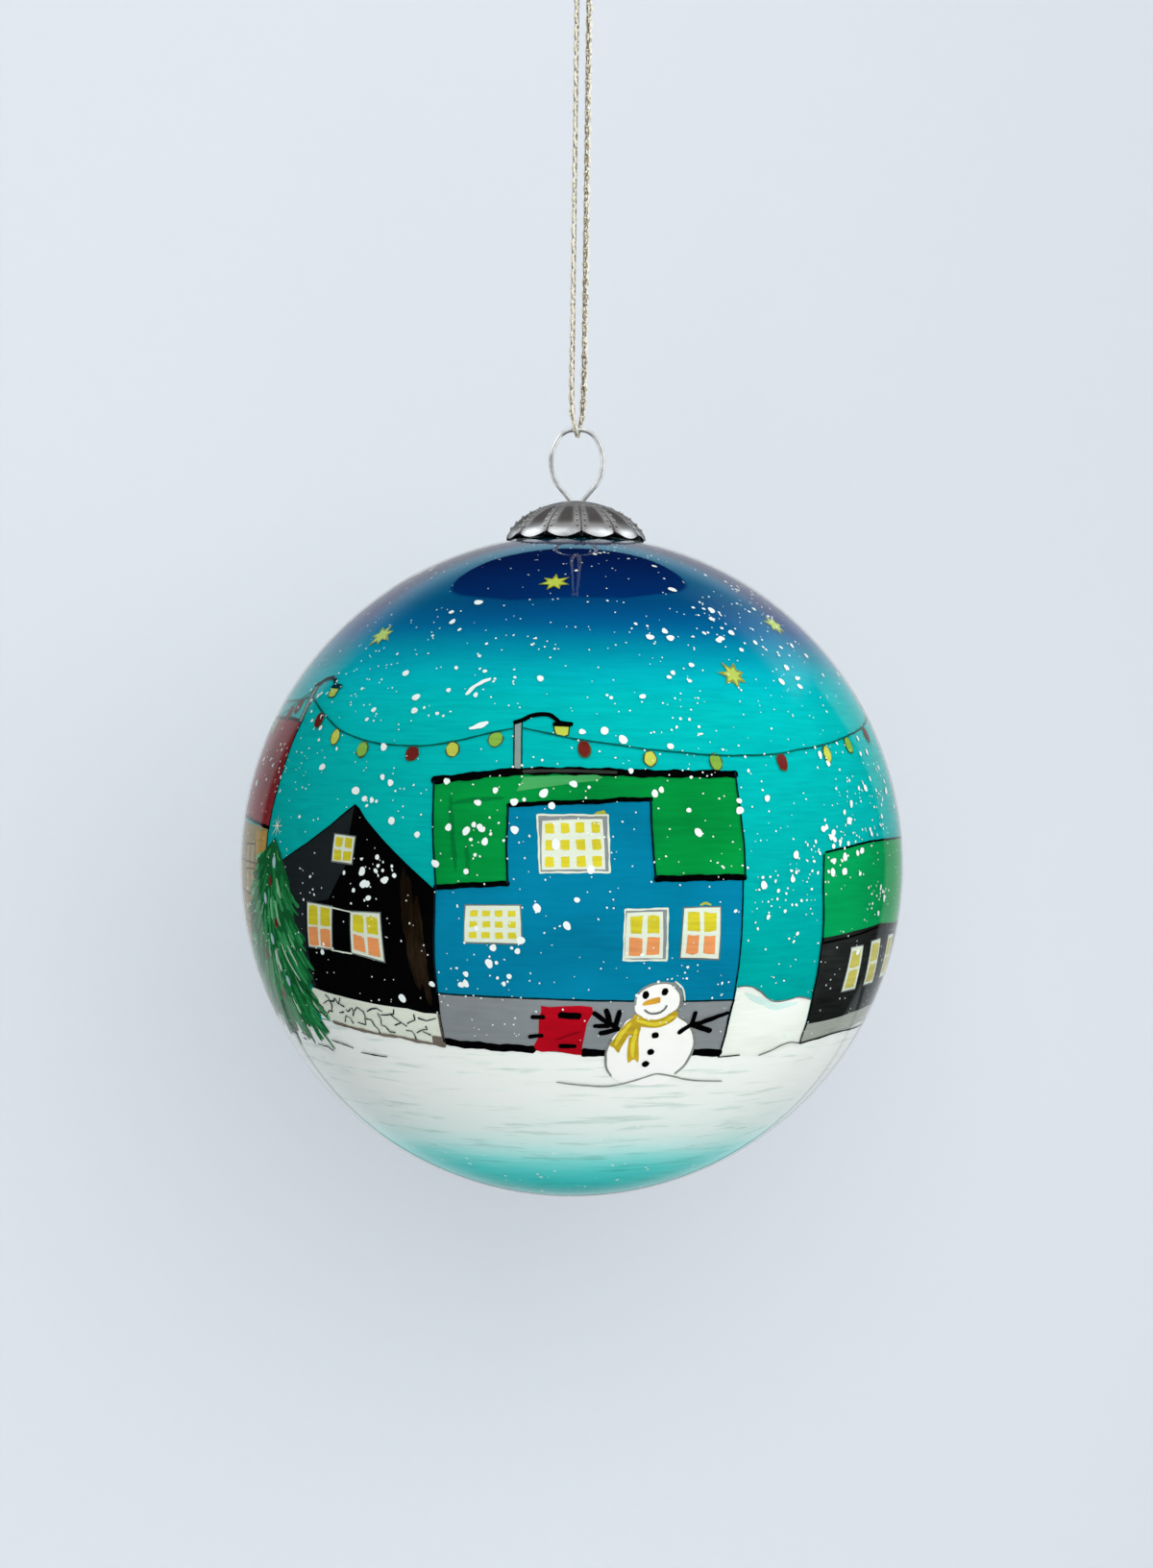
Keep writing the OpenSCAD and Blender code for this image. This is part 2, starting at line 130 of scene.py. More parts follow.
class Nodes:
    """A new material and the few node patterns that the materials share."""

    def __init__(self, name):
        self.material = bpy.data.materials.new(name)
        self.material.use_nodes = True
        self.tree = self.material.node_tree
        self.tree.nodes.clear()
        self.out = self.add("ShaderNodeOutputMaterial")

    def add(self, kind, **settings):
        node = self.tree.nodes.new(kind)
        for key, value in settings.items():
            setattr(node, key, value)
        return node

    def join(self, source, target):
        self.tree.links.new(source, target)

    def coordinates(self, scale):
        """Object coordinates multiplied by scale, in features per metre."""
        where = self.add("ShaderNodeTexCoord")
        mapping = self.add("ShaderNodeMapping")
        mapping.inputs["Scale"].default_value = scale
        self.join(where.outputs["Object"], mapping.inputs["Vector"])
        return mapping.outputs["Vector"]

    def noise(self, scale, detail=3.0, roughness=0.5):
        node = self.add("ShaderNodeTexNoise")
        node.inputs["Scale"].default_value = 1.0
        node.inputs["Detail"].default_value = detail
        node.inputs["Roughness"].default_value = roughness
        self.join(self.coordinates(scale), node.inputs["Vector"])
        return node.outputs["Fac"]

    def ramp(self, value, stops):
        """stops: (position, (r, g, b) in 0 to 255)"""
        node = self.add("ShaderNodeValToRGB")
        elements = node.color_ramp.elements
        elements[0].position, elements[0].color = stops[0][0], linear(stops[0][1])
        elements[1].position, elements[1].color = stops[-1][0], linear(stops[-1][1])
        for position, colour in stops[1:-1]:
            elements.new(position).color = linear(colour)
        self.join(value, node.inputs["Fac"])
        return node.outputs["Color"]

    def maths(self, operation, a, b, third=None):
        node = self.add("ShaderNodeMath", operation=operation)
        for socket, value in zip(node.inputs, (a, b, third)):
            if value is None:
                continue
            if isinstance(value, (int, float)):
                socket.default_value = value
            else:
                self.join(value, socket)
        return node.outputs[0]

    def mix(self, factor, a, b, blend="MIX"):
        node = self.add("ShaderNodeMix", data_type="RGBA", blend_type=blend)
        for socket, value in ((node.inputs[0], factor), (node.inputs[6], a), (node.inputs[7], b)):
            if isinstance(value, (int, float, tuple)):
                socket.default_value = value
            else:
                self.join(value, socket)
        return node.outputs[2]

    def surface(self, colour, roughness, metallic=0.0, bump=None, bump_mm=0.02):
        shader = self.shader = self.add("ShaderNodeBsdfPrincipled")
        shader.inputs["Metallic"].default_value = metallic
        for name, value in (("Base Color", colour), ("Roughness", roughness)):
            if isinstance(value, (int, float, tuple)):
                shader.inputs[name].default_value = value
            else:
                self.join(value, shader.inputs[name])
        if bump is not None:
            node = self.add("ShaderNodeBump")
            node.inputs["Distance"].default_value = bump_mm * MM
            self.join(bump, node.inputs["Height"])
            self.join(node.outputs["Normal"], shader.inputs["Normal"])
        self.join(shader.outputs[0], self.out.inputs["Surface"])
        return self.material

    def matt(self, colour):
        """Paint seen through glass: no shine of its own."""
        self.surface(colour, roughness=0.9)
        self.shader.inputs["Specular IOR Level"].default_value = 0.0
        return self.material


STREAK = (220.0, 220.0, 2600.0)     # brush marks: 4 to 5 mm long and 0.4 mm wide
UPRIGHT_STREAK = (2400.0, 2400.0, 200.0)
BLOTCH = (90.0, 90.0, 140.0)
PAINTS = {}


def paint(name, colour, vary=0.10, streak=STREAK):
    """Brushed paint: streaks and blotches a little darker and lighter than its colour."""
    if name in PAINTS:
        return PAINTS[name]
    n = Nodes(f"paint_{name}")
    marks = n.noise(streak, detail=4.0)
    cloud = n.noise(BLOTCH, detail=2.0)
    tone = n.maths("ADD", n.maths("MULTIPLY", marks, 0.35), n.maths("MULTIPLY", cloud, 0.65))
    darker = tuple(v * (1 - 1.4 * vary) for v in colour)
    lighter = tuple(min(255, v * (1 + 0.8 * vary) + 30 * vary) for v in colour)
    shade = n.ramp(tone, [(0.3, darker), (0.5, colour), (0.72, lighter)])
    PAINTS[name] = n.matt(shade)
    return PAINTS[name]


def sine_of_latitude(n, wobble):
    """A material value: 0 at the globe's bottom, 1 at its top, pushed about by brush marks."""
    where = n.add("ShaderNodeTexCoord")
    parts = n.add("ShaderNodeSeparateXYZ")
    n.join(where.outputs["Object"], parts.inputs[0])
    height = n.maths("SUBTRACT", parts.outputs["Z"], CENTRE.z)
    part = n.maths("MULTIPLY_ADD", height, 0.5 / GLOBE_R, 0.5)
    marks = n.noise(STREAK, detail=4.0)
    cloud = n.noise((55.0, 55.0, 90.0), detail=2.0)
    push = n.maths("ADD", n.maths("SUBTRACT", marks, 0.5), n.maths("SUBTRACT", cloud, 0.5))
    return n.maths("MULTIPLY_ADD", push, wobble, part), marks


def height_stop(latitude, colour):
    return (0.5 + 0.5 * math.sin(math.radians(latitude)), colour)


def sky_paint():
    n = Nodes("paint_sky")
    value, marks = sine_of_latitude(n, 0.012)
    stops = [(-30, (0, 167, 159)), (-13, (0, 172, 165)), (2, (3, 180, 174)), (10, (3, 186, 180)),
             (28, (2, 194, 191)), (32, (1, 190, 195)), (35, (2, 178, 190)), (38, (1, 152, 174)),
             (40, (1, 137, 166)), (42, (1, 115, 157)), (44, (1, 90, 143)), (47, (1, 68, 129)),
             (50, (1, 49, 110)), (58, (1, 39, 97)), (62, (1, 32, 89)), (66, (1, 27, 82)), (74, (0, 30, 80)),
             (77, (0, 60, 72)), (84, (0, 66, 70))]
    shade = n.ramp(value, [height_stop(lat, colour) for lat, colour in stops])
    streaks = n.ramp(marks, [(0.3, (232, 236, 240)), (0.65, (255, 255, 255))])
    return n.matt(n.mix(1.0, shade, streaks, "MULTIPLY"))


def painted_reflection_arc(n):
    """A material value: 1 on a thin curved line low on the front of the snow: a painted reflection of a dark
    line mirrored in the glass.
    """
    where, parts = n.add("ShaderNodeTexCoord"), n.add("ShaderNodeSeparateXYZ")
    n.join(where.outputs["Object"], parts.inputs[0])
    x = n.maths("MULTIPLY", parts.outputs["X"], 1 / GLOBE_R)
    y = n.maths("MULTIPLY", parts.outputs["Y"], 1 / GLOBE_R)
    curve = n.maths("MULTIPLY_ADD", n.maths("POWER", n.maths("ABSOLUTE", x, None), 2.0), 0.8, 0.19)
    off_line = n.maths("ABSOLUTE", n.maths("ADD", y, curve), None)
    on_line = n.maths("LESS_THAN", off_line, 0.007)
    below = n.maths("LESS_THAN", parts.outputs["Z"], CENTRE.z)
    near = n.maths("LESS_THAN", n.maths("ABSOLUTE", x, None), 0.33)
    return n.maths("MULTIPLY", n.maths("MULTIPLY", on_line, near), n.maths("MULTIPLY", below, 0.8))


def snow_paint():
    n = Nodes("paint_snow")
    value, marks = sine_of_latitude(n, 0.02)
    stops = [(-85, (16, 192, 186)), (-70, (40, 198, 192)), (-64, (74, 220, 212)), (-59, (104, 232, 224)),
             (-55, (152, 244, 236)), (-51, (216, 255, 248)), (-46, (244, 255, 248)), (-38, (253, 255, 249)),
             (-20, (254, 255, 249))]
    shade = n.ramp(value, [height_stop(lat, colour) for lat, colour in stops])
    lines = n.noise((120.0, 120.0, 1500.0), detail=5.0, roughness=0.65)
    streaks = n.ramp(lines, [(0.34, (204, 222, 214)), (0.45, (250, 254, 251)), (1.0, (255, 255, 255))])
    # The snow paint with the dark teal arc of painted reflection laid over it.
    return n.matt(n.mix(painted_reflection_arc(n), n.mix(0.7, shade, streaks, "MULTIPLY"), linear((14, 150, 158))))


def glass():
    """Clear glass: a Fresnel gloss on its outer surface, less in the cap's shade, and clear behind it."""
    n = Nodes("clear_glass")
    where = n.add("ShaderNodeTexCoord")
    parts = n.add("ShaderNodeSeparateXYZ")
    n.join(where.outputs["Object"], parts.inputs[0])
    off_axis = n.maths("POWER", n.maths("ADD", n.maths("POWER", parts.outputs["X"], 2.0),
                                        n.maths("POWER", parts.outputs["Y"], 2.0)), 0.5)
    shade = n.add("ShaderNodeMapRange", interpolation_type="SMOOTHSTEP")
    shade.inputs["From Min"].default_value = 9.0 * MM
    shade.inputs["From Max"].default_value = 10.2 * MM
    shade.inputs["To Min"].default_value = 0.2
    n.join(off_axis, shade.inputs["Value"])
    under_globe = n.maths("LESS_THAN", parts.outputs["Z"], CENTRE.z)
    open_air = n.maths("MAXIMUM", shade.outputs["Result"], under_globe)
    clear = n.add("ShaderNodeBsdfTransparent")
    gloss = n.add("ShaderNodeBsdfGlossy")
    gloss.inputs["Roughness"].default_value = 0.0
    fresnel = n.add("ShaderNodeFresnel")
    fresnel.inputs["IOR"].default_value = 1.5
    side = n.add("ShaderNodeNewGeometry")
    front = n.maths("SUBTRACT", 1.0, side.outputs["Backfacing"])
    shader = n.add("ShaderNodeMixShader")
    n.join(n.maths("MULTIPLY", n.maths("MULTIPLY", fresnel.outputs[0], front), open_air), shader.inputs[0])
    n.join(clear.outputs[0], shader.inputs[1])
    n.join(gloss.outputs[0], shader.inputs[2])
    n.join(shader.outputs[0], n.out.inputs["Surface"])
    return n.material


def metal(name, colour, roughness, grime=0.25):
    """Bright metal with fine scratches and a darker bloom in places."""
    n = Nodes(name)
    fine = n.noise((2500.0, 2500.0, 2500.0), detail=4.0)
    cloud = n.noise((400.0, 400.0, 400.0), detail=3.0)
    dull = tuple(v * (1 - grime) for v in colour)
    shade = n.ramp(cloud, [(0.35, dull), (0.6, colour)])
    rough = n.maths("MULTIPLY_ADD", cloud, 0.2, roughness - 0.1)
    return n.surface(shade, rough, metallic=1.0, bump=fine, bump_mm=0.004)


def cap_metal():
    """The cap's pressed metal, coloured with painted light and shade: a painted highlight on its lips and
    beads, and painted shade in its scoops, seams and inside.
    """
    n = Nodes("cap_metal")
    fine = n.noise((2200.0, 2200.0, 2200.0), detail=4.0)
    painted_shade = n.add("ShaderNodeAttribute", attribute_name="painted_shade")
    cloud = n.noise((500.0, 500.0, 500.0), detail=3.0)
    depth = n.maths("MULTIPLY_ADD", n.maths("SUBTRACT", cloud, 0.5), 0.5, painted_shade.outputs["Fac"])
    shade = n.ramp(depth, [(0.0, (232, 231, 228)), (0.25, (158, 155, 152)), (0.6, (116, 110, 107)),
                           (1.0, (84, 77, 75))])
    rough = n.maths("MULTIPLY_ADD", painted_shade.outputs["Fac"], 0.2, 0.2)
    return n.surface(shade, rough, metallic=1.0, bump=fine, bump_mm=0.006)


def yarn(name, colour):
    """Metallic yarn: fine bright fibres across a soft metal thread."""
    n = Nodes(name)
    fibre = n.noise((5200.0, 5200.0, 2600.0), detail=4.0, roughness=0.7)
    dark = tuple(v * 0.55 for v in colour)
    shade = n.ramp(fibre, [(0.36, dark), (0.48, colour), (0.62, (255, 253, 244))])
    return n.surface(shade, roughness=0.4, metallic=0.2, bump=fibre, bump_mm=0.03)


# ---- meshes ----

def mesh_object(name, vertices, faces, material, smooth_angle=40):
    """A new mesh object, smooth across edges flatter than smooth_angle degrees."""
    data = bpy.data.meshes.new(name)
    data.from_pydata([tuple(v) for v in vertices], [], [tuple(f) for f in faces])
    data.validate()
    data.update()
    for one in material if isinstance(material, (list, tuple)) else [material]:
        data.materials.append(one)
    data.shade_smooth()
    data.set_sharp_from_angle(angle=math.radians(smooth_angle))
    thing = bpy.data.objects.new(name, data)
    bpy.context.scene.collection.objects.link(thing)
    return thing


def smooth_line(points, steps, closed=False):
    """Points on a Catmull-Rom curve through the given points, steps to each gap."""
    pts = [Vector(p) for p in points]
    count = len(pts)
    line = []
    for i in range(count if closed else count - 1):
        near = [pts[(i + k) % count] if closed else pts[max(0, min(count - 1, i + k))]
                for k in (-1, 0, 1, 2)]
        a, b, c, d = near
        for k in range(steps):
            t = k / steps
            line.append(0.5 * (2 * b + (c - a) * t + (2 * a - 5 * b + 4 * c - d) * t * t
                               + (3 * b - a - 3 * c + d) * t ** 3))
    if not closed:
        line.append(pts[-1])
    return line


def frames_along(line, first_side):
    """For each point of a line, its heading and two sides that don't twist about it."""
    frames = []
    side = Vector(first_side)
    for i, point in enumerate(line):
        heading = (line[min(i + 1, len(line) - 1)] - line[max(i - 1, 0)]).normalized()
        side = (side - heading * side.dot(heading)).normalized()
        frames.append((heading, side, heading.cross(side)))
    return frames


def tube(line, radius, sides, first_side=(1, 0, 0)):
    """Vertices and faces of a round tube; radius is a number or a function of the index."""
    vertices, faces = [], []
    for i, (point, (_, side, other)) in enumerate(zip(line, frames_along(line, first_side))):
        r = radius(i) if callable(radius) else radius
        for k in range(sides):
            a = 2 * math.pi * k / sides
            vertices.append(point + r * (math.cos(a) * side + math.sin(a) * other))
    last = len(line) - 1
    for i in range(last):
        for k in range(sides):
            m = (k + 1) % sides
            faces.append((i * sides + k, i * sides + m, (i + 1) * sides + m, (i + 1) * sides + k))
    faces.append(tuple(range(sides - 1, -1, -1)))
    faces.append(tuple(last * sides + k for k in range(sides)))
    return vertices, faces


class Pile:
    """Collects the meshes of many small shapes into one object."""

    def __init__(self):
        self.vertices, self.faces, self.slots = [], [], []

    def put(self, vertices, faces, slot=0):
        start = len(self.vertices)
        self.vertices += vertices
        self.faces += [tuple(start + i for i in face) for face in faces]
        self.slots += [slot] * len(faces)

    def make(self, name, materials, smooth_angle=40):
        thing = mesh_object(name, self.vertices, self.faces, materials, smooth_angle)
        thing.data.polygons.foreach_set("material_index", self.slots)
        return thing


# ---- the cord: half of its route, in metres, then the same turned half a turn ----

HALF_ROUTE = [(-0.6, 0, 1.4), (-0.7, 0, -3), (-0.7, 0, -9), (-0.7, 0, -15), (-0.7, 0, -21),
              (-0.7, 0, -27), (-0.7, 0, -33), (-0.7, 0, -39), (-0.7, -0.1, -45), (-0.7, -0.3, -50),
              (-0.6, -0.6, -53), (-0.4, -0.8, -54.4), (-0.2, -0.8, -55.2), (-0.1, -0.5, -55.8)]
ROUTE = [Vector(p) * MM for p in
         HALF_ROUTE + [(0, 0, -56)] + [(-x, -y, z) for x, y, z in reversed(HALF_ROUTE)]]
CORD_D = 0.95 * MM
PINCHED_D = 0.75 * MM
PINCH_Z = -54.8 * MM
STITCH = 1.84 * MM                   # length of one stitch of the chain-knitted cord
YARN_R = 0.15 * MM


def even_line(line, step):
    """The same line with its points a fixed distance apart."""
    points = np.array([tuple(p) for p in line])
    gaps = np.linalg.norm(np.diff(points, axis=0), axis=1)
    along = np.concatenate([[0], np.cumsum(gaps)])
    count = int(along[-1] / step) + 1
    wanted = np.linspace(0, along[-1], count)
    return [Vector(p) for p in np.stack([np.interp(wanted, along, points[:, k]) for k in range(3)], 1)]


CORD_STEP = STITCH / 16
CORD_LINE = even_line(smooth_line(ROUTE, 12), CORD_STEP)
CORD_LENGTH = sum((b - a).length for a, b in zip(CORD_LINE, CORD_LINE[1:]))


def squeeze(z):
    """How much of its full thickness the cord has at a height: less where the wire pinches it."""
    part = min(1, max(0, (z - PINCH_Z) / (1.5 * MM)))
    return (PINCHED_D + (CORD_D - PINCHED_D) * part) / CORD_D


def stitch_path():
    """One chain stitch: (along, across, out) of a narrow foot that opens into a rounded loop."""
    half = [(0.0, 0.03, -0.20), (0.30, 0.07, -0.02), (0.75, 0.17, 0.16), (1.25, 0.27, 0.20),
            (1.75, 0.29, 0.13), (2.15, 0.20, 0.00), (2.34, 0.0, -0.08)]
    return half + [(a, -b, c) for a, b, c in reversed(half[:-1])]


def make_cord():
    """The cord as a chain of knitted stitches round a core thread."""
    frames = frames_along(CORD_LINE, (1, 0, 0))
    last = len(CORD_LINE) - 1
    twist_left, twist_right = math.radians(72), math.radians(8)

    def place(along, across, out):
        index = min(max(along / CORD_STEP, 0), last)
        low = min(int(index), last - 1)
        point = CORD_LINE[low].lerp(CORD_LINE[low + 1], index - low)
        _, side, other = frames[low]
        part = min(1, max(0, (along / CORD_LENGTH - 0.4) / 0.2))
        turn = twist_left + (twist_right - twist_left) * part
        c, s = math.cos(turn), math.sin(turn)
        thin = squeeze(point.z)
        return point + thin * (across * (c * side + s * other) + out * (c * other - s * side))

    pile = Pile()
    pile.put(*tube(CORD_LINE[::4], lambda i: 0.26 * MM * squeeze(CORD_LINE[4 * i].z), 8), slot=1)
    path = smooth_line([Vector(p) for p in stitch_path()], 3)
    start = 0.0
    while start + 2.4 * MM < CORD_LENGTH:
        points = [place(start + p.x * MM, p.y * MM, p.z * MM) for p in path]
        pile.put(*tube(points, YARN_R * squeeze(points[0].z), 6))
        start += STITCH
    return pile.make("hanging_cord_braid",
                     [yarn("cord_yarn", (246, 238, 210)), yarn("cord_core", (122, 106, 78))])


def make_knot():
    """An overhand knot in the doubled cord, and its two cut tails."""
    pile = Pile()
    centre = Vector((0, 0, 3.0)) * MM
    for side in (-1, 1):
        gap = 0.46 * side
        points = [(-side * 0.6 if side > 0 else 0.6, 0, -1.6), (0.5 * side, -0.1, -1.1),
                  (1.15, -0.1 + gap * 0.3, -0.35 + gap * 0.8), (0.5, 0.75 + gap * 0.2, 0.55 + gap * 0.8),
                  (-0.85, 0.6, 0.75 + gap * 0.8), (-1.2, -0.2, 0.1 + gap * 0.8),
                  (-0.5, -0.95, -0.5 + gap * 0.8), (0.7, -0.9, -0.2 + gap * 0.8),
                  (0.95 + gap * 0.2, 0.2, 0.75 + gap * 0.4), (0.2 + gap, 0.1, 1.3),
                  (0.55 * side, 0, 2.4), (0.8 * side, 0, 4.2 + 0.4 * side),
                  (1.0 * side, 0.1, 5.8 + 0.3 * side)]
        line = smooth_line([centre + Vector(p) * MM for p in points], 8)
        vertices, faces = tube(line, 0.46 * MM, 10)
        pile.put(vertices, faces)
        end = line[-1]
        for k in range(9):
            a = 2.4 * k
            root = end + Vector((math.cos(a), math.sin(a), -0.4)) * 0.28 * MM
            tip = root + Vector((0.5 * math.cos(a), 0.5 * math.sin(a), 0.8)) * MM * (0.5 + 0.05 * k)
            pile.put(*tube([root, (root + tip) / 2 + Vector((0, 0, 0.1 * MM)), tip], 0.06 * MM, 5))
    return pile.make("cord_knot_tied", [yarn("knot_yarn", (240, 231, 202))])


cord = make_cord()
knot = make_knot()
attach(cord, "cord")
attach(knot, "cord")
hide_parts("hanging_cord")
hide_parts("cord_knot")


# ---- the wire hanger ----

# Runs of half the wire, from the loop's flat top outwards and down: (turning radius in mm,
# heading at its end in degrees clockwise from straight out, length in mm); radius 0 is straight.
HALF_WIRE = [(0, 0, 0.4), (2.2, 55, 0), (5.2, 115, 0), (3.2, 130, 0), (0, 130, 2.1), (0.9, 90, 0),
             (0, 90, 4.4), (1, 45, 0), (0, 45, 2.6), (1, 90, 0), (0, 90, 10)]


def half_wire_line(step_mm=0.12):
    x, z, heading = 0.0, 0.0, 0.0
    line = [(0.0, 0.0)]
    for radius, end, length in HALF_WIRE:
        end_angle = math.radians(end)
        span = length if radius == 0 else radius * abs(end_angle - heading)
        count = max(2, int(span / step_mm))
        for k in range(1, count + 1):
            t = k / count
            if radius == 0:
                line.append((x + length * t * math.cos(heading), z - length * t * math.sin(heading)))
                continue
            now = heading + (end_angle - heading) * t
            r = radius if end_angle > heading else -radius
            line.append((x + r * (math.sin(now) - math.sin(heading)),
                         z + r * (math.cos(now) - math.cos(heading))))
        x, z = line[-1]
        heading = end_angle
    return line


def make_hanger():
    half = half_wire_line()
    whole = [(-x, z) for x, z in reversed(half[1:])] + half
    line = [Vector((x * MM, 0, LOOP_TOP + z * MM)) for x, z in whole]
    last = len(line) - 1

    def radius(i):
        """Rounded ends where the wire was cut."""
        from_end = min(i, last - i)
        return WIRE_R * math.sqrt(min(1, (from_end + 0.5) / 3))

    vertices, faces = tube(line, radius, 20, first_side=(0, 1, 0))
    return mesh_object("hanger_wire_bent", vertices, faces,
                       metal("wire_metal", (252, 250, 244), 0.16, grime=0.3))


hanger = make_hanger()
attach(hanger, "hanger")
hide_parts("hanger_wire")


# ---- the fluted cap ----

PETALS = 12
SEAM_TURN = 4.5                      # degrees from the front to the nearest seam
NOTCH = 0.75 * MM
CAP_T = 0.32 * MM


def step_up(low, high, value):
    t = min(1, max(0, (value - low) / (high - low)))
    return t * t * (3 - 2 * t)


def cap_shape(across, down):
    """(radius, height, shade) of the cap's outside: across is -1 to 1 from seam to seam of a
    petal and down is 0 at the top's middle to 1 at the rim. shade is painted light and shade for the
    colour: 0, a painted highlight, on the lips, mid grey on the ridges, and up to 1 in the scoops and seams."""
    edge = abs(across)
    power = 1.8
    rise = CAP_TOP - CAP_RIM
    reach = math.sin(down * math.pi / 2)
    radius = CAP_R * 0.985 * reach
    height = rise * (1 - reach ** power) ** (1 / power)
    height = max(height, NOTCH * edge ** 1.9 * step_up(0.8, 1.0, down))
    half = 0.30 + 0.42 * down
    scoop = (step_up(0.24, 0.40, down) * (1 - step_up(0.64, 0.82, down))
             * (1 - step_up(half - 0.2, half + 0.14, edge)))
    lip = step_up(0.74, 0.90, down) * (1 - edge ** 2.4)
    seam = step_up(0.86, 1.0, edge) * step_up(0.22, 0.4, down)
    depth = -0.30 * scoop + 0.16 * lip - 0.20 * seam
    slope = reach ** 2
    radius += depth * MM * slope
    height += depth * MM * (1 - slope) - 0.1 * MM * lip * (1 - slope)
    # Painted light and shade for the colour: ridges mid grey and lips none, so the lips read as a painted
    # highlight.
    ridge = 0.34 * (1 - lip)
    return radius, height, min(1, max(ridge, scoop + 0.8 * seam))


def make_cap():
    columns, rows = 20, 46
    around = PETALS * columns
    vertices, faces, painted_shades = [], [], []
    for inside in (False, True):
        for i in range(1, rows + 1):
            for k in range(around):
                across = 2 * (k % columns) / columns - 1
                radius, height, painted_shade = cap_shape(across, i / rows)
                if inside:
                    part = math.sin(i / rows * math.pi / 2) ** 2
                    radius, height = radius - CAP_T * part, height - CAP_T * (1 - part)
                a = math.radians(SEAM_TURN + 360 * k / around)
                vertices.append(Vector((radius * math.sin(a), -radius * math.cos(a), CAP_RIM + height)))
                # The cap's inner surface gets a fixed painted shade.
                painted_shades.append(0.6 if inside else painted_shade)
    layer = rows * around
    for i in range(rows - 1):
        for k in range(around):
            m = (k + 1) % around
            a, b = i * around + k, i * around + m
            faces.append((a, a + around, b + around, b))
            faces.append((layer + b, layer + b + around, layer + a + around, layer + a))
    rim = (rows - 1) * around
    for k in range(around):
        m = (k + 1) % around
        faces.append((rim + k, layer + rim + k, layer + rim + m, rim + m))
    faces.append(tuple(range(around)))
    faces.append(tuple(layer + k for k in range(around - 1, -1, -1)))
    beads(vertices, faces, painted_shades)
    collar(vertices, faces, painted_shades)
    thing = mesh_object("cap_crown_pressed", vertices, faces, cap_metal(), smooth_angle=50)
    attribute = thing.data.attributes.new("painted_shade", "FLOAT", "POINT")
    attribute.data.foreach_set("value", painted_shades)
    return thing


def beads(vertices, faces, painted_shades):
    """Two rows of beads to a petal, one beside each seam."""
    sides, levels, bead_r = 10, 5, 0.17 * MM
    for petal in range(PETALS):
        for side in (-1, 1):
            for row in range(5):
                across = side * (0.66 + 0.03 * row)
                radius, height, _ = cap_shape(across, 0.36 + 0.105 * row)
                a = math.radians(SEAM_TURN + 360 / PETALS * (petal + (across + 1) / 2))
                out = Vector((math.sin(a), -math.cos(a), 0))
                middle = radius * out + Vector((0, 0, CAP_RIM + height))
                lean = (out * (0.25 + 0.14 * row) + Vector((0, 0, 1 - 0.12 * row))).normalized()
                left = lean.orthogonal().normalized()
                top = lean.cross(left)
                size = bead_r * (0.75 + 0.09 * row)
                start = len(vertices)
                for level in range(levels):
                    b = math.pi / 2 * level / levels - 0.25
                    for k in range(sides):
                        c = 2 * math.pi * k / sides
                        vertices.append(middle
                                        + size * (math.cos(b) * (math.cos(c) * left + math.sin(c) * top)
                                                         + math.sin(b) * lean))
                        # Painted highlight: each bead is coloured lighter towards its top.
                        painted_shades.append(0.34 - 0.16 * level / levels)
                vertices.append(middle + size * lean)
                painted_shades.append(0.16)
                for level in range(levels - 1):
                    for k in range(sides):
                        m = (k + 1) % sides
                        p = start + level * sides
                        faces.append((p + k, p + m, p + sides + m, p + sides + k))
                crown = start + (levels - 1) * sides
                for k in range(sides):
                    faces.append((crown + k, crown + (k + 1) % sides, start + levels * sides))
                faces.append(tuple(start + k for k in range(sides - 1, -1, -1)))


def collar(vertices, faces, painted_shades):
    """The ring inside the cap that fits round the glass neck."""
    sides = 64
    inner, outer = NECK_R + 0.1 * MM, NECK_R + 0.42 * MM
    low, high = CAP_RIM + 1.1 * MM, CAP_RIM + 3.4 * MM
    ring = [(inner, low), (outer, low), (outer, high), (inner, high)]
    start = len(vertices)
    for radius, height in ring:
        for k in range(sides):
            a = 2 * math.pi * k / sides
            vertices.append(Vector((radius * math.cos(a), radius * math.sin(a), height)))
            # The ring inside the cap gets a fixed painted shade.
            painted_shades.append(0.5)
    for i in range(4):
        for k in range(sides):
            m = (k + 1) % sides
            p, q = start + i * sides, start + (i + 1) % 4 * sides
            faces.append((p + k, p + m, q + m, q + k)[::-1])


cap = make_cap()
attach(cap, "cap")
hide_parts("cap_crown")


# ---- the glass ----

SKIN = 0.04 * MM
PAINT_R = GLOBE_R - 0.1 * MM


def lathe(name, profile, sides, material, smooth_angle=40):
    """A closed profile of (radius, height) turned about the globe's upright axis; its first and
    last points lie on the axis."""
    vertices, faces, rings = [], [], []
    for radius, height in profile:
        if radius < 1e-9:
            rings.append([len(vertices)] * sides)
            vertices.append(Vector((0, 0, height)))
            continue
        rings.append(list(range(len(vertices), len(vertices) + sides)))
        for k in range(sides):
            a = 2 * math.pi * k / sides
            vertices.append(Vector((radius * math.cos(a), radius * math.sin(a), height)))
    for low, high in zip(rings, rings[1:]):
        for k in range(sides):
            m = (k + 1) % sides
            faces.append(list(dict.fromkeys((low[k], low[m], high[m], high[k]))))
    return mesh_object(name, vertices, faces, material, smooth_angle)


